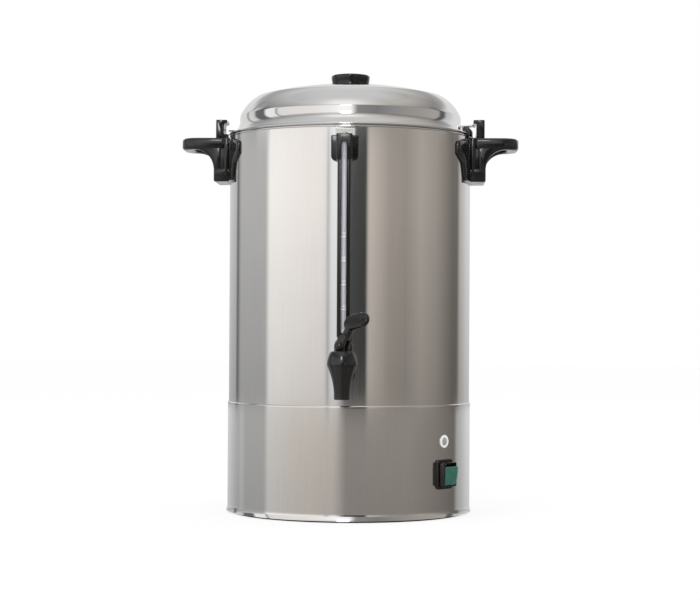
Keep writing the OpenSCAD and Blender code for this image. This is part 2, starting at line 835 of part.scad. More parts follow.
module switch_rocker() {
  crown = 1.2;
  face_r = (pow(rocker_h / 2, 2) + pow(crown, 2)) / (2 * crown);
  face_a = asin(rocker_h / 2 / face_r);
  tall = rocker_out - rocker_axis;
  root = [[0, 8], [-3, 3], [-3, -3], [0, -8]];
  color("seagreen") on_skirt(switch_az, switch_z)
    translate([0, 0, rocker_axis]) rotate([rocker_tilt, 0, 0]) {
    translate([-rocker_w / 2, 0, 0]) rotate([0, -90, 180]) linear_extrude(rocker_w)
      polygon(concat(arc([tall - face_r, 0], face_r, -face_a, face_a, 8), root));
    rotate([0, 90, 0]) cylinder(r = trunnion_r, h = trunnion_l, center = true);
  }
}

module lamp_bezel() {
  seat = 2;
  edge = 0.8;
  slope = 1.4;
  wide = lamp_d / 2;
  color("whitesmoke") on_skirt(switch_az, lamp_z) difference() {
    union() {
      difference() {
        translate([0, 0, -seat]) cylinder(r = wide, h = seat + edge);
        skirt_round();
      }
      translate([0, 0, edge]) cylinder(r1 = wide, r2 = wide - 1.6, h = slope);
      translate([0, 0, -lamp_sleeve_l]) cylinder(r = lamp_sleeve_r, h = lamp_sleeve_l);
    }
    translate([0, 0, -deep_cut]) cylinder(r = lens_r + fit, h = 2 * deep_cut);
  }
}

module lamp_lens() {
  dome_r = 6;
  lens_l = 5;
  crown = 3.2;
  color("lightgray") on_skirt(switch_az, lamp_z) intersection() {
    translate([0, 0, crown - lens_l]) cylinder(r = lens_r, h = lens_l);
    translate([0, 0, crown - dome_r]) sphere(dome_r);
  }
}

module lamp_nut() {
  nut_t = 3.6;
  color("silver") on_skirt(switch_az, lamp_z) translate([0, 0, -skirt_t - 0.4 - nut_t])
    hex_nut(7.5, lamp_sleeve_r, nut_t);
}

module lamp_bulb() {
  glass = 2.4;
  cap_l = 5;
  bulb_l = 9;
  color("orange") on_skirt(switch_az, lamp_z) translate([0, 0, -lamp_sleeve_l - 2]) {
    cylinder(r = lens_r, h = cap_l);
    cylinder(r = glass, h = bulb_l);
    translate([0, 0, bulb_l - glass]) sphere(glass + 0.2);
  }
}

// Pad of a handle against the tank, as an outline of half widths and heights
function pad_outline() =
  let (low = [[pad_low - 4, leg_z], [pad_low, pad_low_z], [pad_mid, pad_mid_z]],
       flare = [[pad_wide - 3, pad_wide_z - 4], [pad_wide, pad_wide_z]],
       high = arc([pad_wide - pad_round, pad_top - pad_round], pad_round, 0, 90, 4),
       half = concat(low, flare, high))
  concat(half, back([for (p = half) [-p[0], p[1]]]));

// One handle, on the +X side of the tank
module handle() {
  bar_in = grip_reach - grip_bar;
  half_w = grip_w / 2;
  step = leg_in + 0.8;
  hook_low = grip_top - over;
  hook_cut = 1.5;
  step_h = 3;
  leg_back = tank_r - 20;
  leg = concat([[leg_back, leg_z]], arc([leg_r - foot_round, leg_z + foot_round], foot_round, -90, 0, 4),
    [[leg_r, grip_top], [leg_back, grip_top]]);
  hook = [[hook_in, hook_low], [hook_out, hook_low], [hook_out, hook_top - hook_cut],
    [hook_out - hook_cut, hook_top], [hook_nose, hook_top], [hook_nose, hook_z], [hook_in, hook_z]];
  stop = [[stop_in, hook_low], [hook_out, hook_low], [hook_out, hook_z + over], [stop_in, hook_z + over]];
  arch = concat([[leg_r - 6, grip_z + over], [bar_in - 1, grip_z + over]],
    arc([leg_r + arch_r, grip_z - arch_r], arch_r, 90, 180, 8), [[leg_r - 6, grip_z - arch_r]]);
  difference() {
    union() {
      difference() {
        translate([0, half_w, 0]) rotate([90, 0, 0]) linear_extrude(grip_w) polygon(leg);
        translate([0, 0, leg_z - over]) cylinder(r = leg_in, h = handle_h + 2 * over);
        translate([0, 0, grip_top - step_h]) cylinder(r = step, h = step_h + over);
      }
      intersection() {
        translate([0, 0, leg_z]) ring(pad_r, leg_in, pad_top - leg_z);
        rotate([90, 0, 90]) linear_extrude(tank_d) polygon(pad_outline());
      }
      difference() {
        translate([0, 0, grip_z]) linear_extrude(grip_t)
          polygon(rounded(tank_r - 10, grip_reach, -half_w, half_w, grip_round));
        translate([0, 0, grip_z - over]) linear_extrude(grip_t + 2 * over)
          polygon(rounded(leg_r - 20, bar_in, arm_w - half_w, half_w - arm_w, loop_round));
        translate([0, 0, grip_z - over]) cylinder(r = leg_r - 1, h = grip_t + 2 * over);
      }
      for (s = [-1, 1]) translate([0, s * (half_w - arm_w / 2) + arm_w / 2, 0]) rotate([90, 0, 0])
        linear_extrude(arm_w) polygon(arch);
      sector(hook_half, hook);
      rotate([0, 0, stop_from + stop_half]) sector(stop_half, stop);
    }
    for (s = [-1, 1]) rotate([0, 0, s * stud_turn]) translate([tank_r, 0, stud_z]) rotate([0, 90, 0]) {
      cylinder(r = stud_r + 0.2, h = 2 * leg_t);
      translate([0, 0, -over]) cylinder(r = stud_foot_r + 0.4, h = stud_foot_t + loose + over);
      translate([0, 0, nut_seat - tank_r]) cylinder(r = nut_pocket_r, h = 2 * leg_t);
    }
  }
}

module handle_right() {
  color("#181818") handle();
}

module handle_left() {
  color("#181818") rotate([0, 0, 180]) handle();
}

// Places a piece on each handle stud, with its Z pointing away from the tank
module on_studs() {
  both_sides() for (s = [-1, 1])
    rotate([0, 0, s * stud_turn]) translate([0, 0, stud_z]) rotate([0, 90, 0]) children();
}

module handle_studs() {
  color("silver") difference() {
    on_studs() {
      translate([0, 0, tank_r - over]) cylinder(r = stud_foot_r, h = over + stud_foot_t);
      translate([0, 0, tank_r]) cylinder(r = stud_r, h = stud_l);
    }
    translate([0, 0, leg_z - over]) cylinder(r = tank_r + fit, h = handle_h, $fn = smooth);
  }
}

module handle_nuts() {
  color("silver") on_studs() translate([0, 0, nut_seat + fit]) difference() {
    union() {
      cylinder(r = nut_washer_r, h = nut_washer_t);
      cylinder(r = nut_r, h = nut_h, $fn = 6);
      translate([0, 0, nut_h]) cylinder(r1 = nut_r - 1.1, r2 = stud_r, h = nut_cap_h);
    }
    translate([0, 0, -over]) cylinder(r = stud_r + fit, h = tank_r + stud_l - nut_seat + over);
  }
}

// A turned piece about the spout's axis
module on_tap() {
  translate([0, -tap_r, 0]) children();
}

module tap_body() {
  top = spout_top + neck_thread_h;
  spout = concat([[0, spout_z], [spout_r, spout_z]],
    arc([spout_r + spout_curve_r, spout_z + spout_straight], spout_curve_r, 180,
      180 - asin(spout_sweep / spout_curve_r), 10),
    [[neck_thread_r, spout_top], [neck_thread_r, top], [0, top]]);
  color("#151515") difference() {
    union() {
      on_tap() rotate_extrude() polygon(spout);
      along_front(shank_in, shank_z) cylinder(r = shank_r, h = tap_r - shank_in);
      along_front(flange_at, shank_z) cylinder(r = tap_flange_r, h = tap_flange_t);
      translate([0, -gauge_r, shank_z]) cylinder(r = gauge_boss_r, h = boss_top - shank_z);
    }
    on_tap() translate([0, 0, spout_z - over]) cylinder(r = water_r, h = seat_z - spout_z + 2 * over);
    on_tap() translate([0, 0, seat_z]) cylinder(r = chamber_r, h = top - seat_z + over);
    along_front(0, shank_z) cylinder(r = water_r, h = tap_r);
    translate([0, -gauge_r, shank_z]) cylinder(r = gauge_way_r, h = boss_top - shank_z + over);
    translate([0, -gauge_r, glass_z - loose])
      cylinder(r = glass_r + seal_t, h = boss_top - glass_z + loose + over);
  }
}

module tap_gaskets() {
  color("#3b3b3b") {
    difference() {
      along_front(tank_r - 4, shank_z) ring(tap_flange_r, shank_r + fit, flange_at - tank_r + 4 - fit);
      translate([0, 0, shank_z - deep_cut]) cylinder(r = tank_r + fit, h = 2 * deep_cut);
    }
    intersection() {
      along_front(nut_at + fit, shank_z) ring(tap_flange_r, shank_r + fit, tank_r - nut_at);
      translate([0, 0, shank_z - deep_cut]) cylinder(r = tank_in - fit, h = 2 * deep_cut);
    }
  }
}

module tap_nut() {
  color("#1c1c1c") along_front(nut_at - tap_nut_h, shank_z) hex_nut(tap_nut_r, shank_r, tap_nut_h);
}

module tap_bonnet() {
  wide = bonnet_d / 2;
  draw_in = 3.9;
  brim = 1.6;
  inner_r = 9;
  bow_h = bonnet_h - brim;
  bow_r = (pow(bow_h, 2) + pow(draw_in, 2)) / (2 * draw_in);
  thread_top = bonnet_z + neck_thread_h + 0.6;
  thread_r = neck_thread_r + fit;
  outline = concat([[stem_r + fit, bonnet_roof], [inner_r, bonnet_roof], [inner_r, thread_top],
    [thread_r, thread_top], [thread_r, bonnet_z], [wide - 0.5, bonnet_z]],
    arc([wide - bow_r, bonnet_z + brim], bow_r, 0, asin(bow_h / bow_r), 8),
    [[stem_r + fit, bonnet_top]]);
  color("#1a1a1a") on_tap() rotate_extrude() polygon(outline);
}

// Turns a piece so that its X points where the lever points
module toward_lever() {
  on_tap() rotate([0, 0, lever_az - 90]) children();
}

module tap_stem() {
  low = seat_z + stem_sunk;
  top = pin_z + stem_r;
  color("#2a2a2a") toward_lever() difference() {
    union() {
      translate([0, 0, low]) cylinder(r = stem_r, h = stem_flat_z - low);
      intersection() {
        translate([-stem_r, -tongue_t / 2, low]) cube([stem_d, tongue_t, top - low]);
        translate([0, 0, low]) cylinder(r = stem_r, h = top - low);
      }
    }
    translate([0, 0, pin_z]) rotate([90, 0, 0]) cylinder(r = pin_r + fit, h = deep_cut, center = true);
  }
}

module tap_seat() {
  color("whitesmoke") on_tap() translate([0, 0, seat_z + loose]) difference() {
    union() {
      cylinder(r1 = seat_r - 1, r2 = seat_r, h = seat_lip);
      translate([0, 0, seat_lip]) cylinder(r = seat_r, h = seat_step - seat_lip);
      translate([0, 0, seat_step]) cylinder(r = seat_top_r, h = seat_h - seat_step);
    }
    translate([0, 0, stem_sunk - loose]) cylinder(r = stem_r + fit, h = seat_h);
  }
}

module tap_spring() {
  steps = spring_turns * rings_a_turn;
  coil = [for (i = [0 : steps]) let (a = 360 * i / rings_a_turn)
    [spring_r * cos(a), spring_r * sin(a), spring_z0 + (spring_z1 - spring_z0) * i / steps]];
  least = min([for (i = [0 : steps], j = [i : steps])
    if (j - i >= rings_a_turn / 2) norm(coil[j] - coil[i])]);
  echo(str("least gap between the spring's turns: ", least - 2 * wire_r));
  color("silver") on_tap() tube(coil, wire_r, wire_sides, [1, 0, 0]);
}

// Heel of the lever: its distance to the bonnet grows evenly as the lever turns
function heel_point(a) = (heel + cam_rate * a * PI / 180) * [sin(a), -cos(a)] + cam_rate * [cos(a), sin(a)];

module tap_lever() {
  heel_end = heel_point(lever_open);
  heel_back = 6;
  neck_top = 14;
  neck = [10, 12, 1];
  neck_end = [8, 9, 4];
  paddle_t = 6;
  paddle_at = [20, 0, paddle_up];
  paddle_turn = [40, -21, 0];
  paddle_end = (paddle_l - paddle_w) / 2;
  cheek = concat([[-heel_back, -heel]], [for (a = [0 : 5 : lever_open]) heel_point(a)],
    [[heel_end[0] - 0.5, heel_end[1] + 3], [7, 8], [4, neck_top], [-heel_back, neck_top]]);
  slot = [24, tongue_t + 2 * loose, 2 * heel + 8];
  color("#161616") translate([0, 0, pin_z]) toward_lever() difference() {
    union() {
      translate([0, hub_w / 2, 0]) rotate([90, 0, 0]) linear_extrude(hub_w) polygon(cheek);
      hull() {
        translate([-heel_back, -neck[1] / 2, neck_top - 4]) cube(neck);
        translate(paddle_at) rotate(paddle_turn) translate([-paddle_end, 0, 0]) cube(neck_end, center = true);
      }
      translate(paddle_at) rotate(paddle_turn) hull() for (s = [-1, 1]) translate([s * paddle_end, 0, 0])
        cylinder(r = paddle_w / 2, h = paddle_t, center = true, $fn = 32);
    }
    translate([-slot[0] / 2, -slot[1] / 2, 6 - slot[2]]) cube(slot);
    rotate([90, 0, 0]) cylinder(r = pin_r + fit, h = 2 * hub_w, center = true);
  }
}

module lever_pin() {
  color("silver") translate([0, 0, pin_z]) toward_lever() rotate([90, 0, 0])
    cylinder(r = pin_r, h = hub_w - 0.4, center = true);
}

// A piece about the gauge's axis
module on_gauge() {
  translate([0, -gauge_r, 0]) children();
}

module gauge_tube() {
  wall = 1.2;
  color("aliceblue") on_gauge() translate([0, 0, glass_z])
    ring(glass_r, glass_r - wall, glass_top - glass_z);
}

// The window's outline, with an arched top
module window(z, depth) {
  rotate([90, 0, 0]) linear_extrude(depth) polygon(concat(
    [[-window_w / 2, z], [window_w / 2, z]], arc([0, window_top - window_w / 2], window_w / 2, 0, 180, 8)));
}

module gauge_guard() {
  color("#141414") on_gauge() difference() {
    translate([0, 0, guard_z + fit]) linear_extrude(guard_top - guard_z - fit)
      polygon(rounded(-guard_w / 2, guard_w / 2, -guard_w / 2, guard_w / 2, 2));
    translate([0, 0, guard_z - over]) cylinder(r = bore_r, h = guard_top - guard_z + 2 * over);
    window(guard_z + 4, guard_w);
  }
}

// The hole for the screw that holds the cap under the strap
module gauge_screw_hole() {
  translate([0, -gauge_screw_at, cap_top - gauge_screw_l - over])
    cylinder(r = gauge_screw_r + 0.1, h = deep_cut);
}

module gauge_cap() {
  vent_r = 1.2;
  front = guard_front + 1.4;
  pocket = guard_w / 2 + fit;
  color("#1c1c1c") difference() {
    union() {
      translate([0, -tank_r, 0]) rotate([90, 0, 0]) linear_extrude(cap_plate_t)
        polygon(rounded(-cap_w / 2, cap_w / 2, cap_z, cap_top, 5));
      translate([-cap_boss_w / 2, -front, cap_z]) cube([cap_boss_w, front - tank_r - over, cap_h]);
    }
    translate([0, 0, cap_z - over]) cylinder(r = tank_r + fit, h = cap_h + 2 * over);
    on_gauge() {
      translate([0, 0, cap_z - over]) linear_extrude(guard_top - cap_z + over + fit)
        polygon(rounded(-pocket, pocket, -pocket, pocket, 2));
      window(cap_z - over, guard_w);
      cylinder(r = vent_r, h = rim_z);
    }
    gauge_screw_hole();
  }
}

module gauge_collar() {
  color("#181818") on_gauge() translate([0, 0, collar_z]) difference() {
    cylinder(r = collar_od / 2, h = collar_h);
    translate([0, 0, -over]) cylinder(r = gauge_boss_r + fit, h = boss_top - collar_z + over + fit);
    cylinder(r = bore_r, h = collar_h + over);
  }
}

module gauge_seals() {
  color("#2b2b2b") on_gauge() translate([0, 0, glass_z + loose])
    ring(glass_r + seal_t - fit, glass_r + fit, boss_top - glass_z - 2 * loose);
}

module gauge_strap() {
  low = cap_top + fit;
  color("gainsboro") difference() {
    union() {
      translate([-strap_w / 2, -tank_r - strap_t, low]) cube([strap_w, strap_t + 3, strap_h]);
      translate([-strap_ledge_w / 2, -tank_r - strap_ledge_l, low])
        cube([strap_ledge_w, strap_ledge_l, strap_t]);
    }
    translate([0, 0, cap_top - over]) cylinder(r = tank_r + fit, h = deep_cut, $fn = smooth);
    gauge_screw_hole();
  }
}

module gauge_screw() {
  color("silver") translate([0, -gauge_screw_at, cap_top - gauge_screw_l]) {
    cylinder(r = gauge_screw_r, h = gauge_screw_l + strap_t + fit + over);
    translate([0, 0, gauge_screw_l + strap_t + 2 * fit]) cylinder(r = gauge_head_r, h = gauge_head_t);
  }
}

module lid_shell() {
  color("gainsboro") difference() {
    union() {
      rotate_extrude() polygon(concat(lid_line(0), back(lid_line(sheet))));
      rotate_extrude() translate([hem_at, hem_z]) circle(r = hem_r);
    }
    cylinder(r = knob_hole_r, h = apex_z + over);
    lug_places() rivet_hole();
  }
}

module lid_collar() {
  low = hem_z - lid_collar_h;
  under = flare_c - (flare_r + sheet) * dir(acos((flare_c[0] - collar_r) / (flare_r + sheet)));
  color("silver") translate([0, 0, low]) ring(collar_r, collar_r - sheet, under[1] - low - 0.2);
}

// The hole for a lug's rivet
module rivet_hole() {
  translate([rivet_at, 0, hem_z - 2]) cylinder(r = rivet_r + fit, h = deep_cut);
}

// The two lugs sit before their hooks, so the lid is unlocked
module lug_places() {
  both_sides() rotate([0, 0, -lock_turn]) children();
}

module lid_lugs() {
  seat_r = flare_r - fit;
  start = acos((flare_c[0] - lug_in) / seat_r);
  end = asin((flare_c[1] - lug_z) / seat_r);
  corner_at = [lug_out - lug_corner, hem_z + lug_corner_rise];
  outline = concat(arc(flare_c, seat_r, 180 + start, 180 + end, 6), [[lug_out, lug_z]],
    arc(corner_at, lug_corner, 0, 60, 4), [[lug_in + 1, lug_top]]);
  slot = [ear_in - 0.4, lug_out + over, ear_z - fit, ear_z + ear_t + fit];
  color("#191919") lug_places() difference() {
    sector(lug_half, outline);
    sector(ear_half + 0.1, box_outline(slot));
    rivet_hole();
  }
}

// Outline of a rectangle, from [x0, x1, y0, y1]
function box_outline(b) = [[b[0], b[2]], [b[1], b[2]], [b[1], b[3]], [b[0], b[3]]];

module lid_ears() {
  color("gainsboro") lug_places() difference() {
    sector(ear_half, box_outline([ear_in, ear_out, ear_z, ear_z + ear_t]));
    rivet_hole();
  }
}

module lug_rivets() {
  color("silver") lug_places() translate([rivet_at, 0, 0]) {
    translate([0, 0, rivet_low]) cylinder(r = rivet_r, h = lug_top - rivet_low + rivet_head_t / 2);
    translate([0, 0, rivet_low]) cylinder(r = rivet_head_r, h = rivet_head_t);
    translate([0, 0, lug_top + fit]) cylinder(r = rivet_head_r, h = rivet_head_t);
  }
}

module lid_knob() {
  wide = knob_d / 2;
  low_r = wide - 1.4;
  waist = knob_z + 3;
  brim = knob_z + knob_h - 4;
  edge_r = 2;
  crown = 2.4;
  top_r = wide - edge_r;
  crown_r = (pow(top_r, 2) + pow(crown, 2)) / (2 * crown);
  crown_half = asin(top_r / crown_r);
  outline = concat([[0, knob_z], [knob_foot_r, knob_z], [knob_foot_r, waist], [low_r - 1, waist],
    [low_r, waist + 1], [wide, brim]], arc([top_r, brim], edge_r, 0, 60, 3),
    arc([0, knob_z + knob_h - crown_r], crown_r, 90 - crown_half, 90, 8));
  color("#101010") difference() {
    rotate_extrude() polygon(outline);
    translate([0, 0, knob_z - over]) cylinder(r = knob_screw_r + fit, h = knob_screw_l + 2 * over);
  }
}

module knob_screw() {
  low = knob_washer_z - fit - knob_head_t;
  color("silver") translate([0, 0, low]) {
    cylinder(r = knob_head_r, h = knob_head_t);
    cylinder(r = knob_screw_r, h = knob_z + knob_screw_l - low);
  }
}

module knob_washer() {
  color("#2a2a2a") translate([0, 0, knob_washer_z]) ring(knob_washer_r, knob_screw_r + fit, knob_washer_t);
}

module pump_tube() {
  lip_t = 1;
  lip_r = tube_r + 1.2;
  stop_t = 1.5;
  stop_r = sleeve_out + 1.4;
  color("lightgray") difference() {
    union() {
      translate([0, 0, tube_z]) cylinder(r = tube_r, h = tube_top - tube_z);
      translate([0, 0, tube_z]) cylinder(r = lip_r, h = lip_t);
      translate([0, 0, basket_z - loose - stop_t]) cylinder(r = stop_r, h = stop_t);
    }
    translate([0, 0, tube_z - over]) cylinder(r = tube_r - sheet, h = tube_top - tube_z + 2 * over);
  }
}

module pump_foot() {
  low = well_z + loose;
  edge = low + bell_edge_h;
  brow = low + bell_brow_h;
  top = low + bell_h;
  waist = tube_r + fit;
  inner_r = foot_bell_r - sheet;
  inside = [[inner_r, low], [inner_r, edge], [waist + bell_curl - sheet / 2, brow - sheet], [waist, brow]];
  outside = [[waist, top], [waist + bell_neck_t, top], [waist + bell_curl, brow],
    [foot_bell_r, edge + sheet / 2], [foot_bell_r, low]];
  notch = [bell_notch, bell_notch, bell_notch];
  color("silver") difference() {
    rotate_extrude() polygon(concat(inside, outside));
    translate([0, 0, low]) around(4, foot_bell_r, 45) cube(notch, center = true);
  }
}

module pump_valve() {
  valve_r = tube_r + 6.5;
  valve_t = 1;
  color("gold") translate([0, 0, valve_z]) ring(valve_r, tube_r + loose, valve_t);
}

// Rows of drain holes through a disc
module drain_holes(rows, r) {
  pitch = 3.6;
  for (row = rows) around(floor(row / pitch), row) cylinder(r = r, h = 2 * over + 6);
}

module filter_basket() {
  rim_w = 2;
  rim_t = 1.2;
  rows = [for (r = [basket_r * 0.26 : basket_r * 0.2 : basket_r * 0.9]) r];
  color("silver") difference() {
    union() {
      translate([0, 0, basket_z]) cylinder(r = basket_r - sheet / 2, h = sheet);
      translate([0, 0, basket_z]) ring(basket_r, basket_r - sheet, basket_h);
      translate([0, 0, basket_top - rim_t]) ring(basket_r + rim_w, basket_r - sheet, rim_t);
      translate([0, 0, basket_z]) cylinder(r = sleeve_out, h = basket_h - 5);
    }
    translate([0, 0, basket_z - over]) cylinder(r = sleeve_in, h = basket_h);
    translate([0, 0, basket_z - over]) drain_holes(rows, 1.75);
  }
}

module basket_spreader() {
  low = basket_top + loose;
  wide = basket_r + 2;
  rows = [for (r = [basket_r * 0.3 : basket_r * 0.25 : basket_r * 0.9]) r];
  color("lightgray") difference() {
    union() {
      translate([0, 0, low]) cylinder(r = wide - sheet / 2, h = sheet);
      translate([0, 0, low]) ring(wide, wide - sheet, 4);
    }
    translate([0, 0, low - over]) cylinder(r = sleeve_in, h = deep_cut);
    translate([0, 0, low - over]) drain_holes(rows, 1.5);
  }
}

base_skirt();
bottom_plate();
foot_ring();
foot_screws();
tie_rods();
tie_nuts();
tank_wall();
tank_floor();
heater_plate();
boil_element();
heater_nut();
warm_element();
thermostat();
thermal_cutout();
terminal_block();
wiring_loom();
power_inlet();
inlet_pins();
inlet_screws();
switch_bezel();
switch_terminals();
switch_rocker();
lamp_bezel();
lamp_lens();
lamp_nut();
lamp_bulb();
handle_left();
handle_right();
handle_studs();
handle_nuts();
tap_body();
tap_gaskets();
tap_nut();
tap_bonnet();
tap_stem();
tap_seat();
tap_spring();
tap_lever();
lever_pin();
gauge_tube();
gauge_guard();
gauge_cap();
gauge_collar();
gauge_seals();
gauge_strap();
gauge_screw();
lid_shell();
lid_collar();
lid_lugs();
lid_ears();
lug_rivets();
lid_knob();
knob_screw();
knob_washer();
pump_tube();
pump_foot();
pump_valve();
filter_basket();
basket_spreader();
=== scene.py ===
"""Dresses the coffee urn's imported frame: steel shells, black mouldings, sight gauge, tap and a white studio."""

import logging
import math
from dataclasses import dataclass
from enum import Enum
from typing import Sequence

import bmesh
import bpy
from mathutils import Matrix, Vector


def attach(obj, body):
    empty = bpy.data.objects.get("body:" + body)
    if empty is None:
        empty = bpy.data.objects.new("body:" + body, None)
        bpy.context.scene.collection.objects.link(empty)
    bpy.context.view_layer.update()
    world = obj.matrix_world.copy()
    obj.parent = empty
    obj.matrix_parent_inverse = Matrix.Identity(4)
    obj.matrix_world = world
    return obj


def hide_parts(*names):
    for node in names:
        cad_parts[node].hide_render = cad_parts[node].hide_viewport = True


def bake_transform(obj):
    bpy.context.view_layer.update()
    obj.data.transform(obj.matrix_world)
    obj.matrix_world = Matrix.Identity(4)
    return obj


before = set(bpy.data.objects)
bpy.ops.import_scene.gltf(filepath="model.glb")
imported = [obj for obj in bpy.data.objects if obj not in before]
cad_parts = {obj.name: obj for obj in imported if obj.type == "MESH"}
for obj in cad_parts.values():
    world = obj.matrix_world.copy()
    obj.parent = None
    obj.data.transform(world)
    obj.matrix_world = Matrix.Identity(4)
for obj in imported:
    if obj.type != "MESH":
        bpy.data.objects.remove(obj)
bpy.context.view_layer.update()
LOG = logging.getLogger("coffee_urn")
MM = 0.001
ROUND = 224
SMOOTH_TO = 32.0
WHITE = (1.0, 1.0, 1.0, 1.0)
BLACK = (0.0, 0.0, 0.0, 1.0)
Point = tuple[float, float]
Triple = tuple[float, float, float]
Colour = tuple[float, float, float]
Tones = tuple[tuple[float, ...], ...]


class Body(Enum):
    """The moving bodies that pieces ride on."""

    URN = "urn"
    LID = "lid"
    KNOB = "knob"
    LEVER = "lever"
    ROCKER = "rocker"
    SWIVEL = "tap_swivel"
    STEM = "stem"


class Slot(Enum):
    """The record's material slots."""

    SHELL = "shell_steel"
    MOULDING = "black_moulding"
    TRIM = "black_trim"
    ROCKER = "rocker_green"
    LAMP_RING = "lamp_ring"
    LAMP = "lamp_clear"
    GLASS = "clear_glass"
    FASTENERS = "fasteners"


class Wiring:
    """Adds nodes to a shader tree and links them."""

    def __init__(self, tree: bpy.types.NodeTree) -> None:
        """Starts from an empty tree."""
        self.tree = tree
        tree.nodes.clear()

    def add(self, kind: str, inputs: dict[str | int, object] | None = None, **settings: object) -> bpy.types.Node:
        """Adds one node and wires its inputs.

        Args:
            kind: The node's type, without its ShaderNode prefix.
            inputs: A value, or a socket to link, for each input by name or number.
            settings: The node's own properties.

        Returns:
            The new node.
        """
        node = self.tree.nodes.new(kind if kind.startswith("NodeGroup") else "ShaderNode" + kind)
        for key, value in settings.items():
            setattr(node, key, value)
        for key, value in (inputs or {}).items():
            if isinstance(value, bpy.types.NodeSocket):
                self.tree.links.new(value, node.inputs[key])
            else:
                node.inputs[key].default_value = value
        return node

    def span(self, value: bpy.types.NodeSocket, low: object, high: object, start: float = 0.0,
             end: float = 1.0) -> bpy.types.NodeSocket:
        """Maps a value from start..end to low..high, without going past them.

        Args:
            value: The socket to map.
            low: The result at start, a number or a socket.
            high: The result at end, a number or a socket.
            start: The value that gives low.
            end: The value that gives high.

        Returns:
            The mapped value's socket.
        """
        node = self.add("MapRange", {"Value": value, "From Min": start, "From Max": end, "To Min": low,
                                     "To Max": high}, clamp=True)
        return node.outputs["Result"]

    def math(self, operation: str, first: object, second: object = 0.0) -> bpy.types.NodeSocket:
        """Adds a Math node and returns its result."""
        return self.add("Math", {0: first, 1: second}, operation=operation).outputs[0]

    def times(self, first: object, second: object) -> bpy.types.NodeSocket:
        """Multiplies two vectors or colours and returns the product."""
        return self.add("VectorMath", {0: first, 1: second}, operation="MULTIPLY").outputs[0]

    def seen(self) -> bpy.types.NodeSocket:
        """Returns 1 for rays that the camera sees straight on or through glass, and 0 for others."""
        path = self.add("LightPath").outputs
        return self.math("MAXIMUM", path["Is Camera Ray"], path["Is Transmission Ray"])

    def blend(self, share: object, first: object, second: object) -> bpy.types.NodeSocket:
        """Mixes two colours by a share and returns the mixed colour."""
        node = self.add("MixRGB", {"Fac": share, "Color1": first, "Color2": second})
        return node.outputs["Color"]

    def ramp(self, value: bpy.types.NodeSocket, stops: Sequence[tuple[float, Colour]]) -> bpy.types.NodeSocket:
        """Maps a value from 0 to 1 to colours.

        Args:
            value: The socket to map.
            stops: The places and their colours, from low to high.

        Returns:
            The colour's socket.
        """
        node = self.add("ValToRGB", {"Fac": value})
        elements = node.color_ramp.elements
        while len(elements) < len(stops):
            elements.new(1.0)
        for element, (place, colour) in zip(elements, stops):
            element.position = place
            element.color = (*colour, 1.0)
        return node.outputs["Color"]


def wired(holder: bpy.types.ID) -> Wiring:
    """Gives the empty shader tree of a material or world."""
    holder.use_nodes = True
    return Wiring(holder.node_tree)


def put(name: str, data: bpy.types.ID) -> bpy.types.Object:
    """Adds an object to the scene.

    Args:
        name: The object's name.
        data: Its mesh, curve, camera or lamp.

    Returns:
        The new object.
    """
    made = bpy.data.objects.new(name, data)
    bpy.context.scene.collection.objects.link(made)
    return made


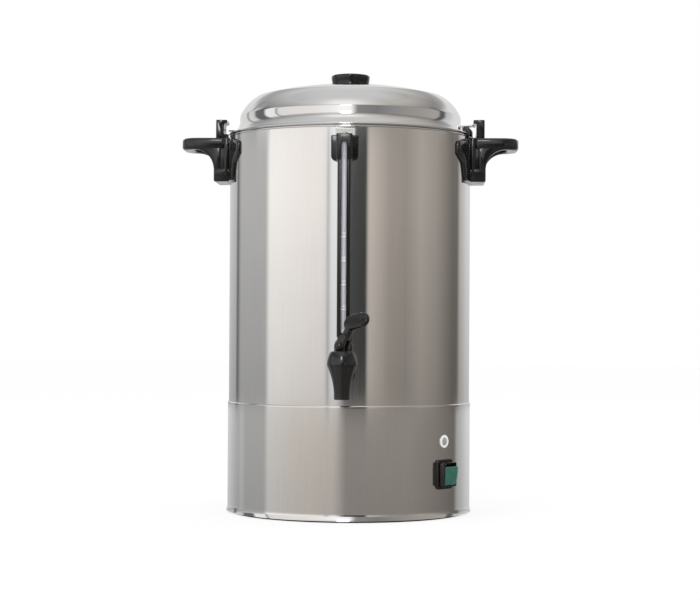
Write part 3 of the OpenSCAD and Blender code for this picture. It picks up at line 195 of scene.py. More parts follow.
class Effect(Enum):
    """Surface effects that several finishes share, each a node group with a Mask output."""

    STREAKS = "drawn_streaks"
    RINGS = "turned_rings"
    MARKS = "handling_marks"
    STIPPLE = "moulded_stipple"

    def group(self) -> bpy.types.NodeTree:
        """Builds the effect's node group once.

        Returns:
            The node group, with the inputs Vector and Scale and the output Mask.
        """
        made = bpy.data.node_groups.get(self.value)
        if made:
            return made
        tree = bpy.data.node_groups.new(self.value, "ShaderNodeTree")
        tree.interface.new_socket("Vector", in_out="INPUT", socket_type="NodeSocketVector")
        tree.interface.new_socket("Scale", in_out="INPUT", socket_type="NodeSocketFloat")
        tree.interface.new_socket("Mask", in_out="OUTPUT", socket_type="NodeSocketFloat")
        wiring = Wiring(tree)
        source = wiring.add("NodeGroupInput")
        mask = self._mask(wiring, source.outputs["Vector"], source.outputs["Scale"])
        wiring.add("NodeGroupOutput", {"Mask": mask})
        return tree

    def _mask(self, wiring: Wiring, place: bpy.types.NodeSocket,
              scale: bpy.types.NodeSocket) -> bpy.types.NodeSocket:
        """Wires the effect's own pattern.

        Args:
            wiring: The group's tree.
            place: Where the surface point lies.
            scale: How fine the pattern is.

        Returns:
            The socket of a value from 0 to 1.
        """
        if self in (Effect.STREAKS, Effect.RINGS):
            if self is Effect.STREAKS:
                grain = wiring.times(place, (1.0, 1.0, 0.012))
            else:
                flat = wiring.times(place, (1.0, 1.0, 0.0))
                radius = wiring.add("VectorMath", {0: flat}, operation="LENGTH").outputs["Value"]
                height = wiring.add("SeparateXYZ", {0: place}).outputs["Z"]
                grain = wiring.add("CombineXYZ", {"X": radius, "Y": height}).outputs[0]
            noise = wiring.add("TexNoise", {"Vector": grain, "Scale": scale, "Detail": 4.0, "Roughness": 0.6})
            return wiring.span(noise.outputs["Fac"], 0.0, 1.0, 0.32, 0.68)
        if self is Effect.MARKS:
            noise = wiring.add("TexNoise", {"Vector": place, "Scale": scale, "Detail": 5.0, "Roughness": 0.55,
                                            "Distortion": 0.8})
            return wiring.span(noise.outputs["Fac"], 0.0, 1.0, 0.4, 0.72)
        cells = wiring.add("TexVoronoi", {"Vector": place, "Scale": scale}, feature="SMOOTH_F1")
        noise = wiring.add("TexNoise", {"Vector": place, "Scale": scale, "Detail": 2.0})
        pits = wiring.math("MULTIPLY", cells.outputs["Distance"], noise.outputs["Fac"])
        return wiring.span(pits, 0.0, 1.0, 0.05, 0.5)

    def place(self, wiring: Wiring, point: bpy.types.NodeSocket, scale: float) -> bpy.types.NodeSocket:
        """Places the effect in a material's tree, at a point and as fine as the scale, and returns its mask."""
        node = wiring.add("Group", {"Vector": point, "Scale": scale}, node_tree=self.group())
        return node.outputs["Mask"]


@dataclass(frozen=True)
class Finish:
    """A surface finish with faint handling marks and, but for glass, fine grain, made into a material once."""

    name: str
    low: Colour
    high: Colour
    rough: Point
    scale: float = 900.0
    relief: float = 0.05
    coat: float = 0.0
    see_through: float = 0.0
    cover: float = 1.0
    metallic: float = 0.0
    grain: Effect | None = Effect.STIPPLE
    grain_share: float = 0.5
    marks_scale: float = 22.0
    depth: float = 0.0003

    @classmethod
    def metal(cls, name: str, tint: Colour, rough: Point, grain: Effect, scale: float, relief: float,
              shade: float = 0.94) -> "Finish":
        """Gives a drawn, turned or cast metal.

        Args:
            name: The finish's name.
            tint: The metal's colour.
            rough: Its roughness from the grain's low to its high places.
            grain: The grain's pattern.
            scale: How fine the grain is.
            relief: How far the grain stands out.
            shade: How dark the grain's low places are, as a share of the tint.

        Returns:
            The finish.
        """
        dark = tuple(shade * c for c in tint)
        return cls(name, dark, tint, rough, scale, relief, metallic=1.0, grain=grain, grain_share=0.65,
                   marks_scale=14.0, depth=0.0004)

    def material(self) -> bpy.types.Material:
        """Makes the finish's material once, with grain and marks in its colour, roughness and relief.

        Returns:
            The material.
        """
        made = bpy.data.materials.get(self.name)
        if made:
            return made
        made = bpy.data.materials.new(self.name)
        wiring = wired(made)
        point = wiring.add("TexCoord").outputs["Object"]
        share = Effect.MARKS.place(wiring, point, self.marks_scale)
        look = {"Base Color": (*self.high, 1.0)}
        if self.grain:
            grain = self.grain.place(wiring, point, self.scale)
            worn = wiring.math("MULTIPLY", share, 1 - self.grain_share)
            share = wiring.math("ADD", wiring.math("MULTIPLY", grain, self.grain_share), worn)
            bump = wiring.add("Bump", {"Height": grain, "Strength": self.relief, "Distance": self.depth})
            tone = wiring.blend(share, (*self.low, 1.0), look["Base Color"])
            look = {"Base Color": tone, "Normal": bump.outputs[0]}
        shader = wiring.add("BsdfPrincipled", look | {
            "Roughness": wiring.span(share, *self.rough), "Metallic": self.metallic, "Coat Weight": self.coat,
            "Transmission Weight": self.see_through, "Alpha": self.cover})
        wiring.add("OutputMaterial", {"Surface": shader.outputs[0]})
        return made


class Finishes:
    """The urn's finishes."""

    TANK = Finish.metal("rolled_steel", (0.95, 0.945, 0.94), (0.05, 0.09), Effect.STREAKS, 1400.0, 0.006)
    LID = Finish.metal("spun_steel", (0.95, 0.945, 0.94), (0.05, 0.1), Effect.RINGS, 900.0, 0.006)
    INNER = Finish.metal("pressed_steel", (0.78, 0.77, 0.75), (0.2, 0.34), Effect.RINGS, 700.0, 0.08)
    FASTENER = Finish.metal("zinc_fasteners", (0.7, 0.7, 0.69), (0.24, 0.4), Effect.STIPPLE, 900.0, 0.06)
    ALUMINIUM = Finish.metal("spun_aluminium", (0.83, 0.83, 0.82), (0.26, 0.42), Effect.RINGS, 600.0, 0.1)
    BRASS = Finish.metal("drawn_brass", (0.78, 0.57, 0.28), (0.22, 0.38), Effect.STIPPLE, 900.0, 0.05)
    SHEATH = Finish.metal("dull_sheath", (0.36, 0.33, 0.3), (0.38, 0.55), Effect.STIPPLE, 700.0, 0.1)
    RING = Finish("white_ring", (0.76, 0.76, 0.76), (0.84, 0.84, 0.84), (0.1, 0.2), 700.0, 0.02, 0.3)
    MOULDING = Finish("gloss_black", (0.004, 0.004, 0.0045), (0.008, 0.008, 0.0085), (0.11, 0.2), coat=0.5)
    TRIM = Finish("satin_black", (0.0035, 0.0035, 0.0038), (0.007, 0.007, 0.0073), (0.14, 0.24), coat=0.3)
    ROCKER = Finish("green_plastic", (0.02, 0.09, 0.066), (0.045, 0.15, 0.115), (0.1, 0.2), 500.0, 0.03, 0.3)
    LENS = Finish("grey_lens", (0.33, 0.3, 0.28), (0.42, 0.39, 0.36), (0.08, 0.16), 500.0, 0.04, 0.4, 0.1)
    RUBBER = Finish("black_rubber", (0.03, 0.03, 0.031), (0.055, 0.055, 0.056), (0.6, 0.8))
    SILICONE = Finish("pale_silicone", (0.5, 0.47, 0.44), (0.62, 0.59, 0.55), (0.45, 0.62))
    CONTROL = Finish("brown_phenolic", (0.05, 0.042, 0.036), (0.09, 0.077, 0.066), (0.4, 0.6))
    CERAMIC = Finish("fired_ceramic", (0.68, 0.66, 0.6), (0.8, 0.78, 0.72), (0.3, 0.5))
    SLEEVE = Finish("woven_sleeve", (0.56, 0.54, 0.5), (0.7, 0.68, 0.63), (0.5, 0.7), 1600.0, 0.2)
    LINER = Finish("gauge_liner", (0.9, 0.89, 0.94), (0.93, 0.92, 0.96), (0.35, 0.5), 1200.0, 0.02)
    PRINT = Finish("gauge_print", (0.94, 0.94, 0.94), (0.97, 0.97, 0.97), (0.4, 0.55), 1800.0, 0.02)
    GLASS = Finish("thin_glass", (0.88, 0.87, 0.93), (0.88, 0.87, 0.93), (0.04, 0.1), cover=0.55, grain=None,
                   marks_scale=60.0)


def arc(centre: Point, radius: float, start: float, end: float, steps: int) -> list[Point]:
    """Gives points on an arc between two angles in degrees, both ends among them."""
    turns = [math.radians(start + (end - start) * i / steps) for i in range(steps + 1)]
    return [(centre[0] + radius * math.cos(a), centre[1] + radius * math.sin(a)) for a in turns]


def turned(degrees: float, axis: str) -> Matrix:
    """Gives a turn about an axis."""
    return Matrix.Rotation(math.radians(degrees), 4, axis)


def bow(half: float, rise: float) -> tuple[float, float]:
    """Gives the radius of an arc that rises over half its chord, and half its turn in degrees."""
    radius = (half ** 2 + rise ** 2) / (2 * rise)
    return radius, math.degrees(math.asin(half / radius))


UPRIGHT = turned(90.0, "X")


def rounded(width: float, height: float, radius: float, centre: Point = (0.0, 0.0)) -> list[Point]:
    """Gives the outline of a rectangle with round corners.

    Args:
        width: Its whole width.
        height: Its whole height.
        radius: The radius of its corners.
        centre: Its middle.

    Returns:
        The outline's points, anticlockwise.
    """
    x, y = width / 2 - radius, height / 2 - radius
    corners = ((x, y, 0), (-x, y, 90), (-x, -y, 180), (x, -y, 270))
    return [p for cx, cy, a in corners for p in arc((centre[0] + cx, centre[1] + cy), radius, a, a + 90, 6)]


class Form:
    """A mesh in the making, in millimetres."""

    def __init__(self) -> None:
        """Starts empty."""
        self.mesh = bmesh.new()

    def turn(self, outline: Sequence[Point], steps: int, closed: bool = True) -> "Form":
        """Adds an outline of (radius, height) points turned about the upright axis.

        Args:
            outline: The points.
            steps: How many parts the round has.
            closed: Whether the last point joins the first; a solid form ends on the axis instead.

        Returns:
            The form itself.
        """
        rim = [self.mesh.verts.new((r, 0.0, z)) for r, z in outline]
        pairs = list(zip(rim, rim[1:])) + ([(rim[-1], rim[0])] if closed else [])
        edges = [self.mesh.edges.new(pair) for pair in pairs]
        bmesh.ops.spin(self.mesh, geom=rim + edges, axis=(0, 0, 1), cent=(0, 0, 0), angle=math.tau, steps=steps,
                       use_merge=True)
        return self

    def rod(self, radius: float, low: float, high: float, steps: int, bore: float = 0.0) -> "Form":
        """Adds an upright cylinder between two heights, solid or with a bore."""
        outline = [(bore, low), (radius, low), (radius, high), (bore, high)]
        return self.turn(outline, steps, closed=bore > 0)

    def sector(self, outline: Sequence[Point], start: float, end: float, steps: int) -> "Form":
        """Adds an outline of (radius, height) points turned from one angle to another, with flat ends.

        Args:
            outline: The points.
            start: Where it starts, in degrees from +X.
            end: Where it ends, in degrees.
            steps: How many parts the round has.

        Returns:
            The form itself.
        """
        face = self.mesh.faces.new([self.mesh.verts.new((r, 0.0, z)) for r, z in outline])
        bmesh.ops.transform(self.mesh, matrix=turned(start, "Z"), verts=face.verts)
        bmesh.ops.spin(self.mesh, geom=[face, *face.edges, *face.verts], axis=(0, 0, 1), cent=(0, 0, 0),
                       angle=math.radians(end - start), steps=steps)
        return self

    def plate(self, outline: Sequence[Point], low: float, high: float) -> "Form":
        """Adds a flat outline across X and Y, raised from one height to another."""
        face = self.mesh.faces.new([self.mesh.verts.new((x, y, low)) for x, y in outline])
        return self._raise([face], high - low)

    def frame(self, outer: Sequence[Point], inner: Sequence[Point], low: float, high: float) -> "Form":
        """Adds a plate with an opening through it.

        Args:
            outer: The outer outline.
            inner: The opening's outline.
            low: Its lower height.
            high: Its upper height.

        Returns:
            The form itself.
        """
        edges = []
        for outline in (outer, inner):
            loop = [self.mesh.verts.new((x, y, low)) for x, y in outline]
            edges += [self.mesh.edges.new(pair) for pair in zip(loop, loop[1:] + loop[:1])]
        return self._raise(bmesh.ops.bridge_loops(self.mesh, edges=edges)["faces"], high - low)

    def _raise(self, faces: Sequence[bmesh.types.BMFace], height: float) -> "Form":
        """Raises flat faces into a solid.

        Args:
            faces: The faces.
            height: How far they rise.

        Returns:
            The form itself.
        """
        raised = bmesh.ops.extrude_face_region(self.mesh, geom=faces)["geom"]
        tops = [part for part in raised if isinstance(part, bmesh.types.BMVert)]
        bmesh.ops.translate(self.mesh, verts=tops, vec=(0, 0, height))
        return self

    def block(self, size: Sequence[float], centre: Sequence[float]) -> "Form":
        """Adds a rectangular block.

        Args:
            size: Its size along each axis.
            centre: Its middle.

        Returns:
            The form itself.
        """
        place = Matrix.Translation(centre) @ Matrix.Diagonal((*size, 1.0))
        bmesh.ops.create_cube(self.mesh, size=1.0, matrix=place)
        return self

    def ball(self, radius: float, centre: Sequence[float], flatten: Sequence[float]) -> "Form":
        """Adds a ball.

        Args:
            radius: Its radius.
            centre: Its middle.
            flatten: How far it is flattened along each axis.

        Returns:
            The form itself.
        """
        place = Matrix.Translation(centre) @ Matrix.Diagonal((*flatten, 1.0))
        bmesh.ops.create_uvsphere(self.mesh, u_segments=28, v_segments=16, radius=radius, matrix=place)
        return self

    def close(self) -> "Form":
        """Merges doubled points and turns all faces outwards.

        Returns:
            The form itself.
        """
        bmesh.ops.remove_doubles(self.mesh, verts=self.mesh.verts, dist=1e-4)
        bmesh.ops.recalc_face_normals(self.mesh, faces=self.mesh.faces)
        return self

    def soften(self, width: float, segments: int = 3, angle: float = 40.0) -> "Form":
        """Rounds the edges that turn by more than an angle.

        Args:
            width: How wide the rounding is.
            segments: How many parts it has.
            angle: The least turn that counts as an edge, in degrees.

        Returns:
            The form itself.
        """
        self.close()
        least = math.radians(angle)
        edges = [e for e in self.mesh.edges if len(e.link_faces) == 2 and e.calc_face_angle() > least]
        bmesh.ops.bevel(self.mesh, geom=edges, offset=width, offset_type="OFFSET", affect="EDGES",
                        segments=segments, profile=0.5, material=-1, clamp_overlap=True)
        return self

    def move(self, place: Matrix) -> "Form":
        """Moves the whole form."""
        bmesh.ops.transform(self.mesh, matrix=place, verts=self.mesh.verts)
        return self

    def forward(self, distance: float) -> "Form":
        """Moves the whole form out towards the front."""
        return self.move(Matrix.Translation((0, -distance, 0)))

    def spend(self, name: str) -> bpy.types.Mesh:
        """Makes a mesh of the form, which is used up.

        Args:
            name: The mesh's name.

        Returns:
            The mesh.
        """
        mesh = bpy.data.meshes.new(name)
        self.mesh.to_mesh(mesh)
        self.mesh.free()
        return mesh

    def join(self, *others: "Form") -> "Form":
        """Takes in other forms.

        Args:
            others: The forms to take in, which are used up.

        Returns:
            The form itself.
        """
        for other in others:
            spare = other.close().spend("joined")
            self.mesh.from_mesh(spare)
            bpy.data.meshes.remove(spare)
        return self

    def carve(self, cutter: "Form") -> "Form":
        """Cuts another form out of this one.

        Args:
            cutter: The form to cut away, which is used up.

        Returns:
            The form itself.
        """
        holders = [put("carving", part.close().spend("carving")) for part in (self, cutter)]
        cut = holders[0].modifiers.new("cut", "BOOLEAN")
        cut.object, cut.operation, cut.solver = holders[1], "DIFFERENCE", "EXACT"
        bpy.context.view_layer.update()
        result = holders[0].evaluated_get(bpy.context.evaluated_depsgraph_get()).to_mesh()
        self.mesh = bmesh.new()
        self.mesh.from_mesh(result)
        for holder in holders:
            mesh = holder.data
            bpy.data.objects.remove(holder)
            bpy.data.meshes.remove(mesh)
        return self


@dataclass(frozen=True)
class Piece:
    """A finished piece: its name, what it rides on and how it is finished."""

    name: str
    body: Body
    finish: Finish
    slot: Slot
    stands_for: tuple[str, ...] = ()
    far_body: Body | None = None
    stretch: tuple[Triple, ...] = ()

    def make(self, form: Form) -> bpy.types.Object:
        """Makes the piece from a form.

        Args:
            form: The shape in millimetres, which is used up.

        Returns:
            The new object.
        """
        form.close()
        bmesh.ops.scale(form.mesh, vec=(MM, MM, MM), verts=form.mesh.verts)
        mesh = form.spend(self.name)
        mesh.polygons.foreach_set("use_smooth", [True] * len(mesh.polygons))
        mesh.set_sharp_from_angle(angle=math.radians(SMOOTH_TO))
        mesh.materials.append(self.finish.material())
        made = put(self.name, mesh)
        if self.far_body:
            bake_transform(made)
        else:
            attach(made, self.body.value)
        if self.stands_for:
            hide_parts(*self.stands_for)
        LOG.info("%s: %d faces on %s", self.name, len(mesh.polygons), self.body.value)
        return made


def dress(finishes: dict[Finish, Sequence[str]]) -> None:
    """Gives CAD nodes that keep their shape their finishes.

    Args:
        finishes: The names of the nodes that each finish goes on.
    """
    for finish, nodes in finishes.items():
        for name in nodes:
            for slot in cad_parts[name].material_slots:
                slot.material = finish.material()
            LOG.info("%s: %s", name, finish.name)


def outward(azimuth: float, radius: float, height: float) -> Matrix:
    """Gives the place of a piece that faces out of the urn's side.

    Args:
        azimuth: Degrees to the right of the front.
        radius: How far out its seat lies.
        height: How high it sits.

    Returns:
        A matrix whose X runs to the right, Y up and Z outwards.
    """
    a = math.radians(azimuth)
    across, out = Vector((math.cos(a), math.sin(a), 0)), Vector((math.sin(a), -math.cos(a), 0))
    turn = Matrix((across, Vector((0, 0, 1)), out)).transposed().to_4x4()
    return Matrix.Translation(out * radius + Vector((0, 0, height))) @ turn


@dataclass
class Shell:
    """The base skirt and the tank wall."""

    tank_r: float = 130.0
    sheet: float = 0.8
    seam: float = 119.0
    wall_low: float = 107.0
    rim_at: Point = (129.4, 403.3)
    rim_r: float = 1.2
    skirt_r: float = 131.0
    skirt_low: float = 2.0
    kick_high: float = 7.0
    kick_out: float = 1.2
    lip_r: float = 1.2
    flange_r: float = 111.4
    flange_low: float = 5.0
    foot_r: float = 129.4
    shelf_r: float = 126.5
    inlet_size: Triple = (19.7, 20.0, 27.2)
    inlet_high: float = 50.0

    def build(self) -> None:
        """Builds the skirt and the wall, and dresses the parts under them."""
        self._wall()
        self._skirt()
        dress({Finishes.TRIM: ("foot_ring", "bottom_plate"), Finishes.INNER: ("tank_floor",),
               Finishes.FASTENER: ("foot_screws", "tie_rods", "tie_nuts")})

    def _wall(self) -> None:
        """Builds the tank wall with its rolled rim."""
        inner = self.tank_r - self.sheet
        straight = self.rim_at[1] - 2 * self.rim_r
        outline = [(inner, self.wall_low), (self.tank_r, self.wall_low), (self.tank_r, straight)]
        outline += arc(self.rim_at, self.rim_r, -60, 260, 20)
        Piece("tank_shell", Body.URN, Finishes.TANK, Slot.SHELL, ("tank_wall",)).make(
            Form().turn(outline + [(inner, straight)], ROUND))

    def _skirt(self) -> None:
        """Builds the base skirt with its flared foot, top lip, shelf, flange and opening for the inlet."""
        inner, low = self.skirt_r - self.sheet, self.skirt_low
        kick_r, kick_a = bow(self.kick_high, self.kick_out)
        kick_at = (self.skirt_r + kick_r, low + self.kick_high)
        shelf_low, flange_top = self.wall_low - self.sheet, self.flange_low + self.sheet
        outline = [(self.flange_r, self.flange_low), (self.foot_r, self.flange_low), (self.foot_r, low)]
        outline += arc(kick_at, kick_r, 180 + kick_a, 180, 10)
        outline += [(self.skirt_r, kick_at[1] + 1.5), (self.skirt_r, self.seam - 2 * self.lip_r)]
        outline += arc((self.skirt_r - self.lip_r, self.seam - self.lip_r), self.lip_r, 0, 75, 8)
        outline += [(inner, self.seam - self.lip_r), (inner, self.wall_low), (self.shelf_r, self.wall_low),
                    (self.shelf_r, shelf_low), (inner, shelf_low), (inner, flange_top), (self.flange_r, flange_top)]
        inlet = Form().block(self.inlet_size, (0.0, self.skirt_r, self.inlet_high))
        Piece("skirt_shell", Body.URN, Finishes.TANK, Slot.SHELL, ("base_skirt",)).make(
            Form().turn(outline, ROUND).carve(inlet))


@dataclass
class Lid:
    """The flared lid with its lugs and knob."""

    sheet: float = 0.8
    hem_at: Point = (130.2, 406.0)
    hem_r: float = 1.1
    flare_at: Point = (134.83, 420.7)
    flare_r: float = 15.4
    flare_turn: float = 72.6
    brow_at: Point = (115.4, 424.9)
    brow_r: float = 4.0
    shoulder_r: float = 42.0
    crease_r: float = 5.0
    turns: Triple = (22.5, 60.5, 75.5)
    hole_r: float = 2.6
    knob_gap: float = 0.3
    knob_r: float = 20.85
    knob_high: float = 13.6
    brim_high: float = 9.6
    brim_r: float = 2.0
    crown_high: float = 2.4
    foot_r: float = 1.8
    lug_from: Point = (-17.2, 162.8)
    lug_wide: float = 10.4
    rivet_at: float = 128.6

    def build(self) -> None:
        """Builds the shell, the knob and the lugs, and dresses the collar, ears and fasteners."""
        clear, under = ([p for p in self._line(depth) if math.dist(p, self.hem_at) > self.hem_r]
                        for depth in (0.0, self.sheet))
        hem = arc(self.hem_at, self.hem_r, 209, 522, 20)
        Piece("lid_dome", Body.LID, Finishes.LID, Slot.SHELL, ("lid_shell",)).make(
            Form().turn(clear + under[::-1] + hem, ROUND))
        self._knob()
        self._lugs()
        dress({Finishes.LID: ("lid_collar", "lid_ears"), Finishes.FASTENER: ("knob_screw", "knob_washer")})

    def _centres(self) -> list[Vector]:
        """Finds how the lid's arcs follow one another.

        Returns:
            The centres of the shoulder, the crease and the crown, and the point where the crown starts.
        """
        out = [Vector((math.cos(math.radians(a)), math.sin(math.radians(a)))) for a in self.turns]
        shoulder = Vector(self.brow_at) + (self.brow_r - self.shoulder_r) * out[0]
        crease = shoulder + (self.shoulder_r - self.crease_r) * out[1]
        start = crease + self.crease_r * out[2]
        return [shoulder, crease, Vector((0.0, start.y - start.x * out[2].y / out[2].x)), start]

    def _line(self, depth: float) -> list[Point]:
        """Gives the lid's section as a chain of arcs, from its hem to its middle.

        Args:
            depth: How far under the outer face the line lies.

        Returns:
            The section's points.
        """
        brow_a, shoulder_a, crown_a = self.turns
        shoulder, crease, crown, start = self._centres()
        crown_r = (start - crown).length
        last = math.degrees(math.acos(self.hole_r / crown_r))
        line = arc(self.flare_at, self.flare_r + depth, 180 + self.flare_turn, 180, 16)
        line += arc(self.brow_at, self.brow_r - depth, 0, brow_a, 6)
        line += arc(tuple(shoulder), self.shoulder_r - depth, brow_a, shoulder_a, 18)[1:]
        line += arc(tuple(crease), self.crease_r - depth, shoulder_a, crown_a, 8)[1:]
        return line + arc(tuple(crown), crown_r - depth, crown_a, last, 24)[1:]

    def _lugs(self) -> None:
        """Builds the two black lugs that hang over the hem, and their rivets."""
        outline = arc(self.flare_at, self.flare_r - 0.3, 234, 243, 3)
        outline += [(130.2, 407.6), (131.2, 407.3), (131.6, 406.4), (131.6, 403.2), (133.1, 403.2)]
        outline += arc((128.1, 408.3), 5.0, 0, 80, 8) + [(126.0, 413.3)]
        head = [(0.0, 413.0), (2.2, 413.0), (2.2, 415.0)] + arc((0.0, 412.6), 3.2, 48, 90, 6)
        lugs, rivets = Form(), Form()
        for start in self.lug_from:
            lugs.join(Form().sector(outline, start, start + self.lug_wide, 8).soften(0.5, 2, 50))
            place = turned(start + self.lug_wide / 2, "Z") @ Matrix.Translation((self.rivet_at, 0, 0))
            rivets.join(Form().turn(head, 24, closed=False).move(place))
        Piece("lug_mouldings", Body.LID, Finishes.MOULDING, Slot.MOULDING, ("lid_lugs",)).make(lugs)
        Piece("rivet_heads", Body.LID, Finishes.FASTENER, Slot.FASTENERS, ("lug_rivets",)).make(rivets)

    def _knob(self) -> None:
        """Builds the crowned knob."""
        crown, start = self._centres()[2:]
        low, wide = crown.y + (start - crown).length + self.knob_gap, self.knob_r
        brim, top, flat = low + self.brim_high, low + self.knob_high, wide - self.brim_r
        crown_r, half = bow(flat, self.crown_high)
        outline = [(0.0, low)] + arc((wide - 3.0, low + self.foot_r), self.foot_r, -90, -15, 6)
        outline += [(wide - 0.25, brim - 2.6)] + arc((flat, brim), self.brim_r, 0, 62, 8)
        outline += arc((0.0, top - crown_r), crown_r, 90 - half + 0.6, 90, 16)
        Piece("knob_cap", Body.KNOB, Finishes.MOULDING, Slot.MOULDING, ("lid_knob",)).make(
            Form().turn(outline, 96, closed=False))


@dataclass
class Handles:
    """The two side handles, each with a leg, a looped grip, a lid hook and an end stop."""

    tank_r: float = 130.3
    leg_r: float = 146.0
    leg_low: float = 355.0
    rib_at: float = 132.2
    sunk: float = 1.8
    top: float = 402.0
    grip_low: float = 389.5
    reach: float = 181.4
    half: float = 28.0
    bar: float = 168.9
    arm: float = 19.0
    corner: float = 18.0
    stud_turn: float = 4.8
    stud_high: float = 373.25
    pocket: Point = (138.5, 160.0)
    pocket_r: float = 6.5
    edge_r: float = 2.5
    foot_from: float = 6.0
    foot_to: float = 14.0
    pad_thick: float = 2.4
    loop_r: float = 9.0
    roots: Point = (134.0, 140.0)
    hook_turn: float = 4.9
    stop_turns: Point = (5.6, 8.6)

    def build(self) -> None:
        """Builds both handles and dresses their studs."""
        for side, turn in (("right", 0.0), ("left", 180.0)):
            form = Form().join(self._leg(), self._pad(), self._grip(), *self._arches(), self._hook(), self._stop())
            Piece(f"handle_{side}_moulding", Body.URN, Finishes.MOULDING, Slot.MOULDING, (f"handle_{side}",)).make(
                form.move(turned(turn, "Z")))
        dress({Finishes.FASTENER: ("handle_studs", "handle_nuts")})

    @staticmethod
    def _corners(out: float, half: float, radius: float, steps: int) -> list[Point]:
        """Gives the two round corners at the end of an outline."""
        x, y = out - radius, half - radius
        return arc((x, -y), radius, -90, 0, steps) + arc((x, y), radius, 0, 90, steps)

    def _block(self, out: float, half: float, low: float, high: float) -> Form:
        """Builds an upright block on the tank.

        Args:
            out: How far it reaches from the tank's axis.
            half: Half of its width.
            low: The height of its foot.
            high: The height of its top.

        Returns:
            The block, with round edges.
        """
        turn = math.degrees(math.asin(half / self.tank_r))
        outline = arc((0, 0), self.tank_r, turn, -turn, 14) + self._corners(out, half, self.edge_r, 5)
        return Form().plate(outline, low, high).soften(1.8, 4)

    def _leg(self) -> Form:
        """Builds the leg on the tank: a core with two nut pockets, a round rib at each side and a proud foot.

        Returns:
            The leg.
        """
        low, high = self.leg_low + self.foot_from, self.leg_low + self.foot_to
        leg = self._block(self.leg_r, self.half - self.sunk, self.leg_low, self.top)
        for turn in (-self.stud_turn, self.stud_turn):
            pocket = Form().rod(self.pocket_r, *self.pocket, 32)
            place = turned(turn, "Z") @ Matrix.Translation((0, 0, self.stud_high))
            leg.carve(pocket.move(place @ turned(90.0, "Y")))
        for side in (-1, 1):
            rib = rounded(6.0, 8.0, 2.6, (self.rib_at, side * (self.half - 4.0)))
            leg.join(Form().plate(rib, low, self.top).soften(1.1, 3, 60))
        return leg.join(self._block(self.leg_r - 1.6, self.half - 0.3, low, high))

    def _pad(self) -> Form:
        """Builds the thin pad that lies on the tank behind the leg and flares at its top.

        Returns:
            The pad.
        """
        side = [(42.0, 355.0), (46.5, 358.5), (48.5, 366.0), (51.0, 373.0), (57.5, 377.5), (63.5, 382.0)]
        side += arc((58.5, 391.0), 5.0, 0, 90, 5)
        outline = side + [(-y, z) for y, z in reversed(side)]
        pad = Form().plate(outline, 0.0, self.pad_thick).close()
        for y in range(-60, 61, 4):
            bmesh.ops.bisect_plane(pad.mesh, geom=[*pad.mesh.verts, *pad.mesh.edges, *pad.mesh.faces],
                                   plane_co=(y, 0, 0), plane_no=(1, 0, 0))
        pad.soften(1.0, 2)
        for vert in pad.mesh.verts:
            across, height, out = vert.co
            radius = self.tank_r + out
            vert.co = (math.sqrt(radius * radius - across * across), across, height)
        return pad

    def _grip(self) -> Form:
        """Builds the looped grip with its round edges.

        Returns:
            The grip.
        """
        root, loop = self.roots
        outer = [(root, -self.half), *self._corners(self.reach, self.half, self.corner, 12), (root, self.half)]
        inner = [(loop, -self.arm), *self._corners(self.bar, self.arm, self.loop_r, 8), (loop, self.arm)]
        return Form().frame(outer, inner, self.grip_low, self.top).soften(3.2, 5)

    def _arches(self) -> list[Form]:
        """Builds the two arched webs between the leg and the arms of the grip.

        Returns:
            The webs.
        """
        radius = self.bar - self.leg_r - 2.0
        centre = (self.leg_r + radius, self.grip_low - radius)
        outline = [(138.0, self.grip_low + 4), (centre[0] + 2, self.grip_low + 4)]
        outline += arc(centre, radius, 90, 180, 12) + [(138.0, centre[1] - 1)]
        deep = (self.half - self.sunk / 2 - self.arm) / 2
        webs = []
        for side in (-1, 1):
            web = Form().plate(outline, -deep, deep).soften(1.6, 3, 50)
            webs.append(web.move(Matrix.Translation((0, side * (self.arm + deep), 0)) @ UPRIGHT))
        return webs

    def _hook(self) -> Form:
        """Builds the hook that the lid's ear turns under."""
        outline = [(136.7, 400.0), (145.5, 400.0), (145.5, 423.0), (133.4, 423.0), (133.4, 419.0), (136.7, 419.0)]
        return Form().sector(outline, -self.hook_turn, self.hook_turn, 6).soften(0.9, 2)

    def _stop(self) -> Form:
        """Builds the end stop beside the hook."""
        outline = [(131.8, 400.0), (145.5, 400.0), (145.5, 419.0), (139.0, 419.0), (137.0, 406.5), (131.8, 406.5)]
        return Form().sector(outline, *self.stop_turns, 3).soften(0.8, 2)


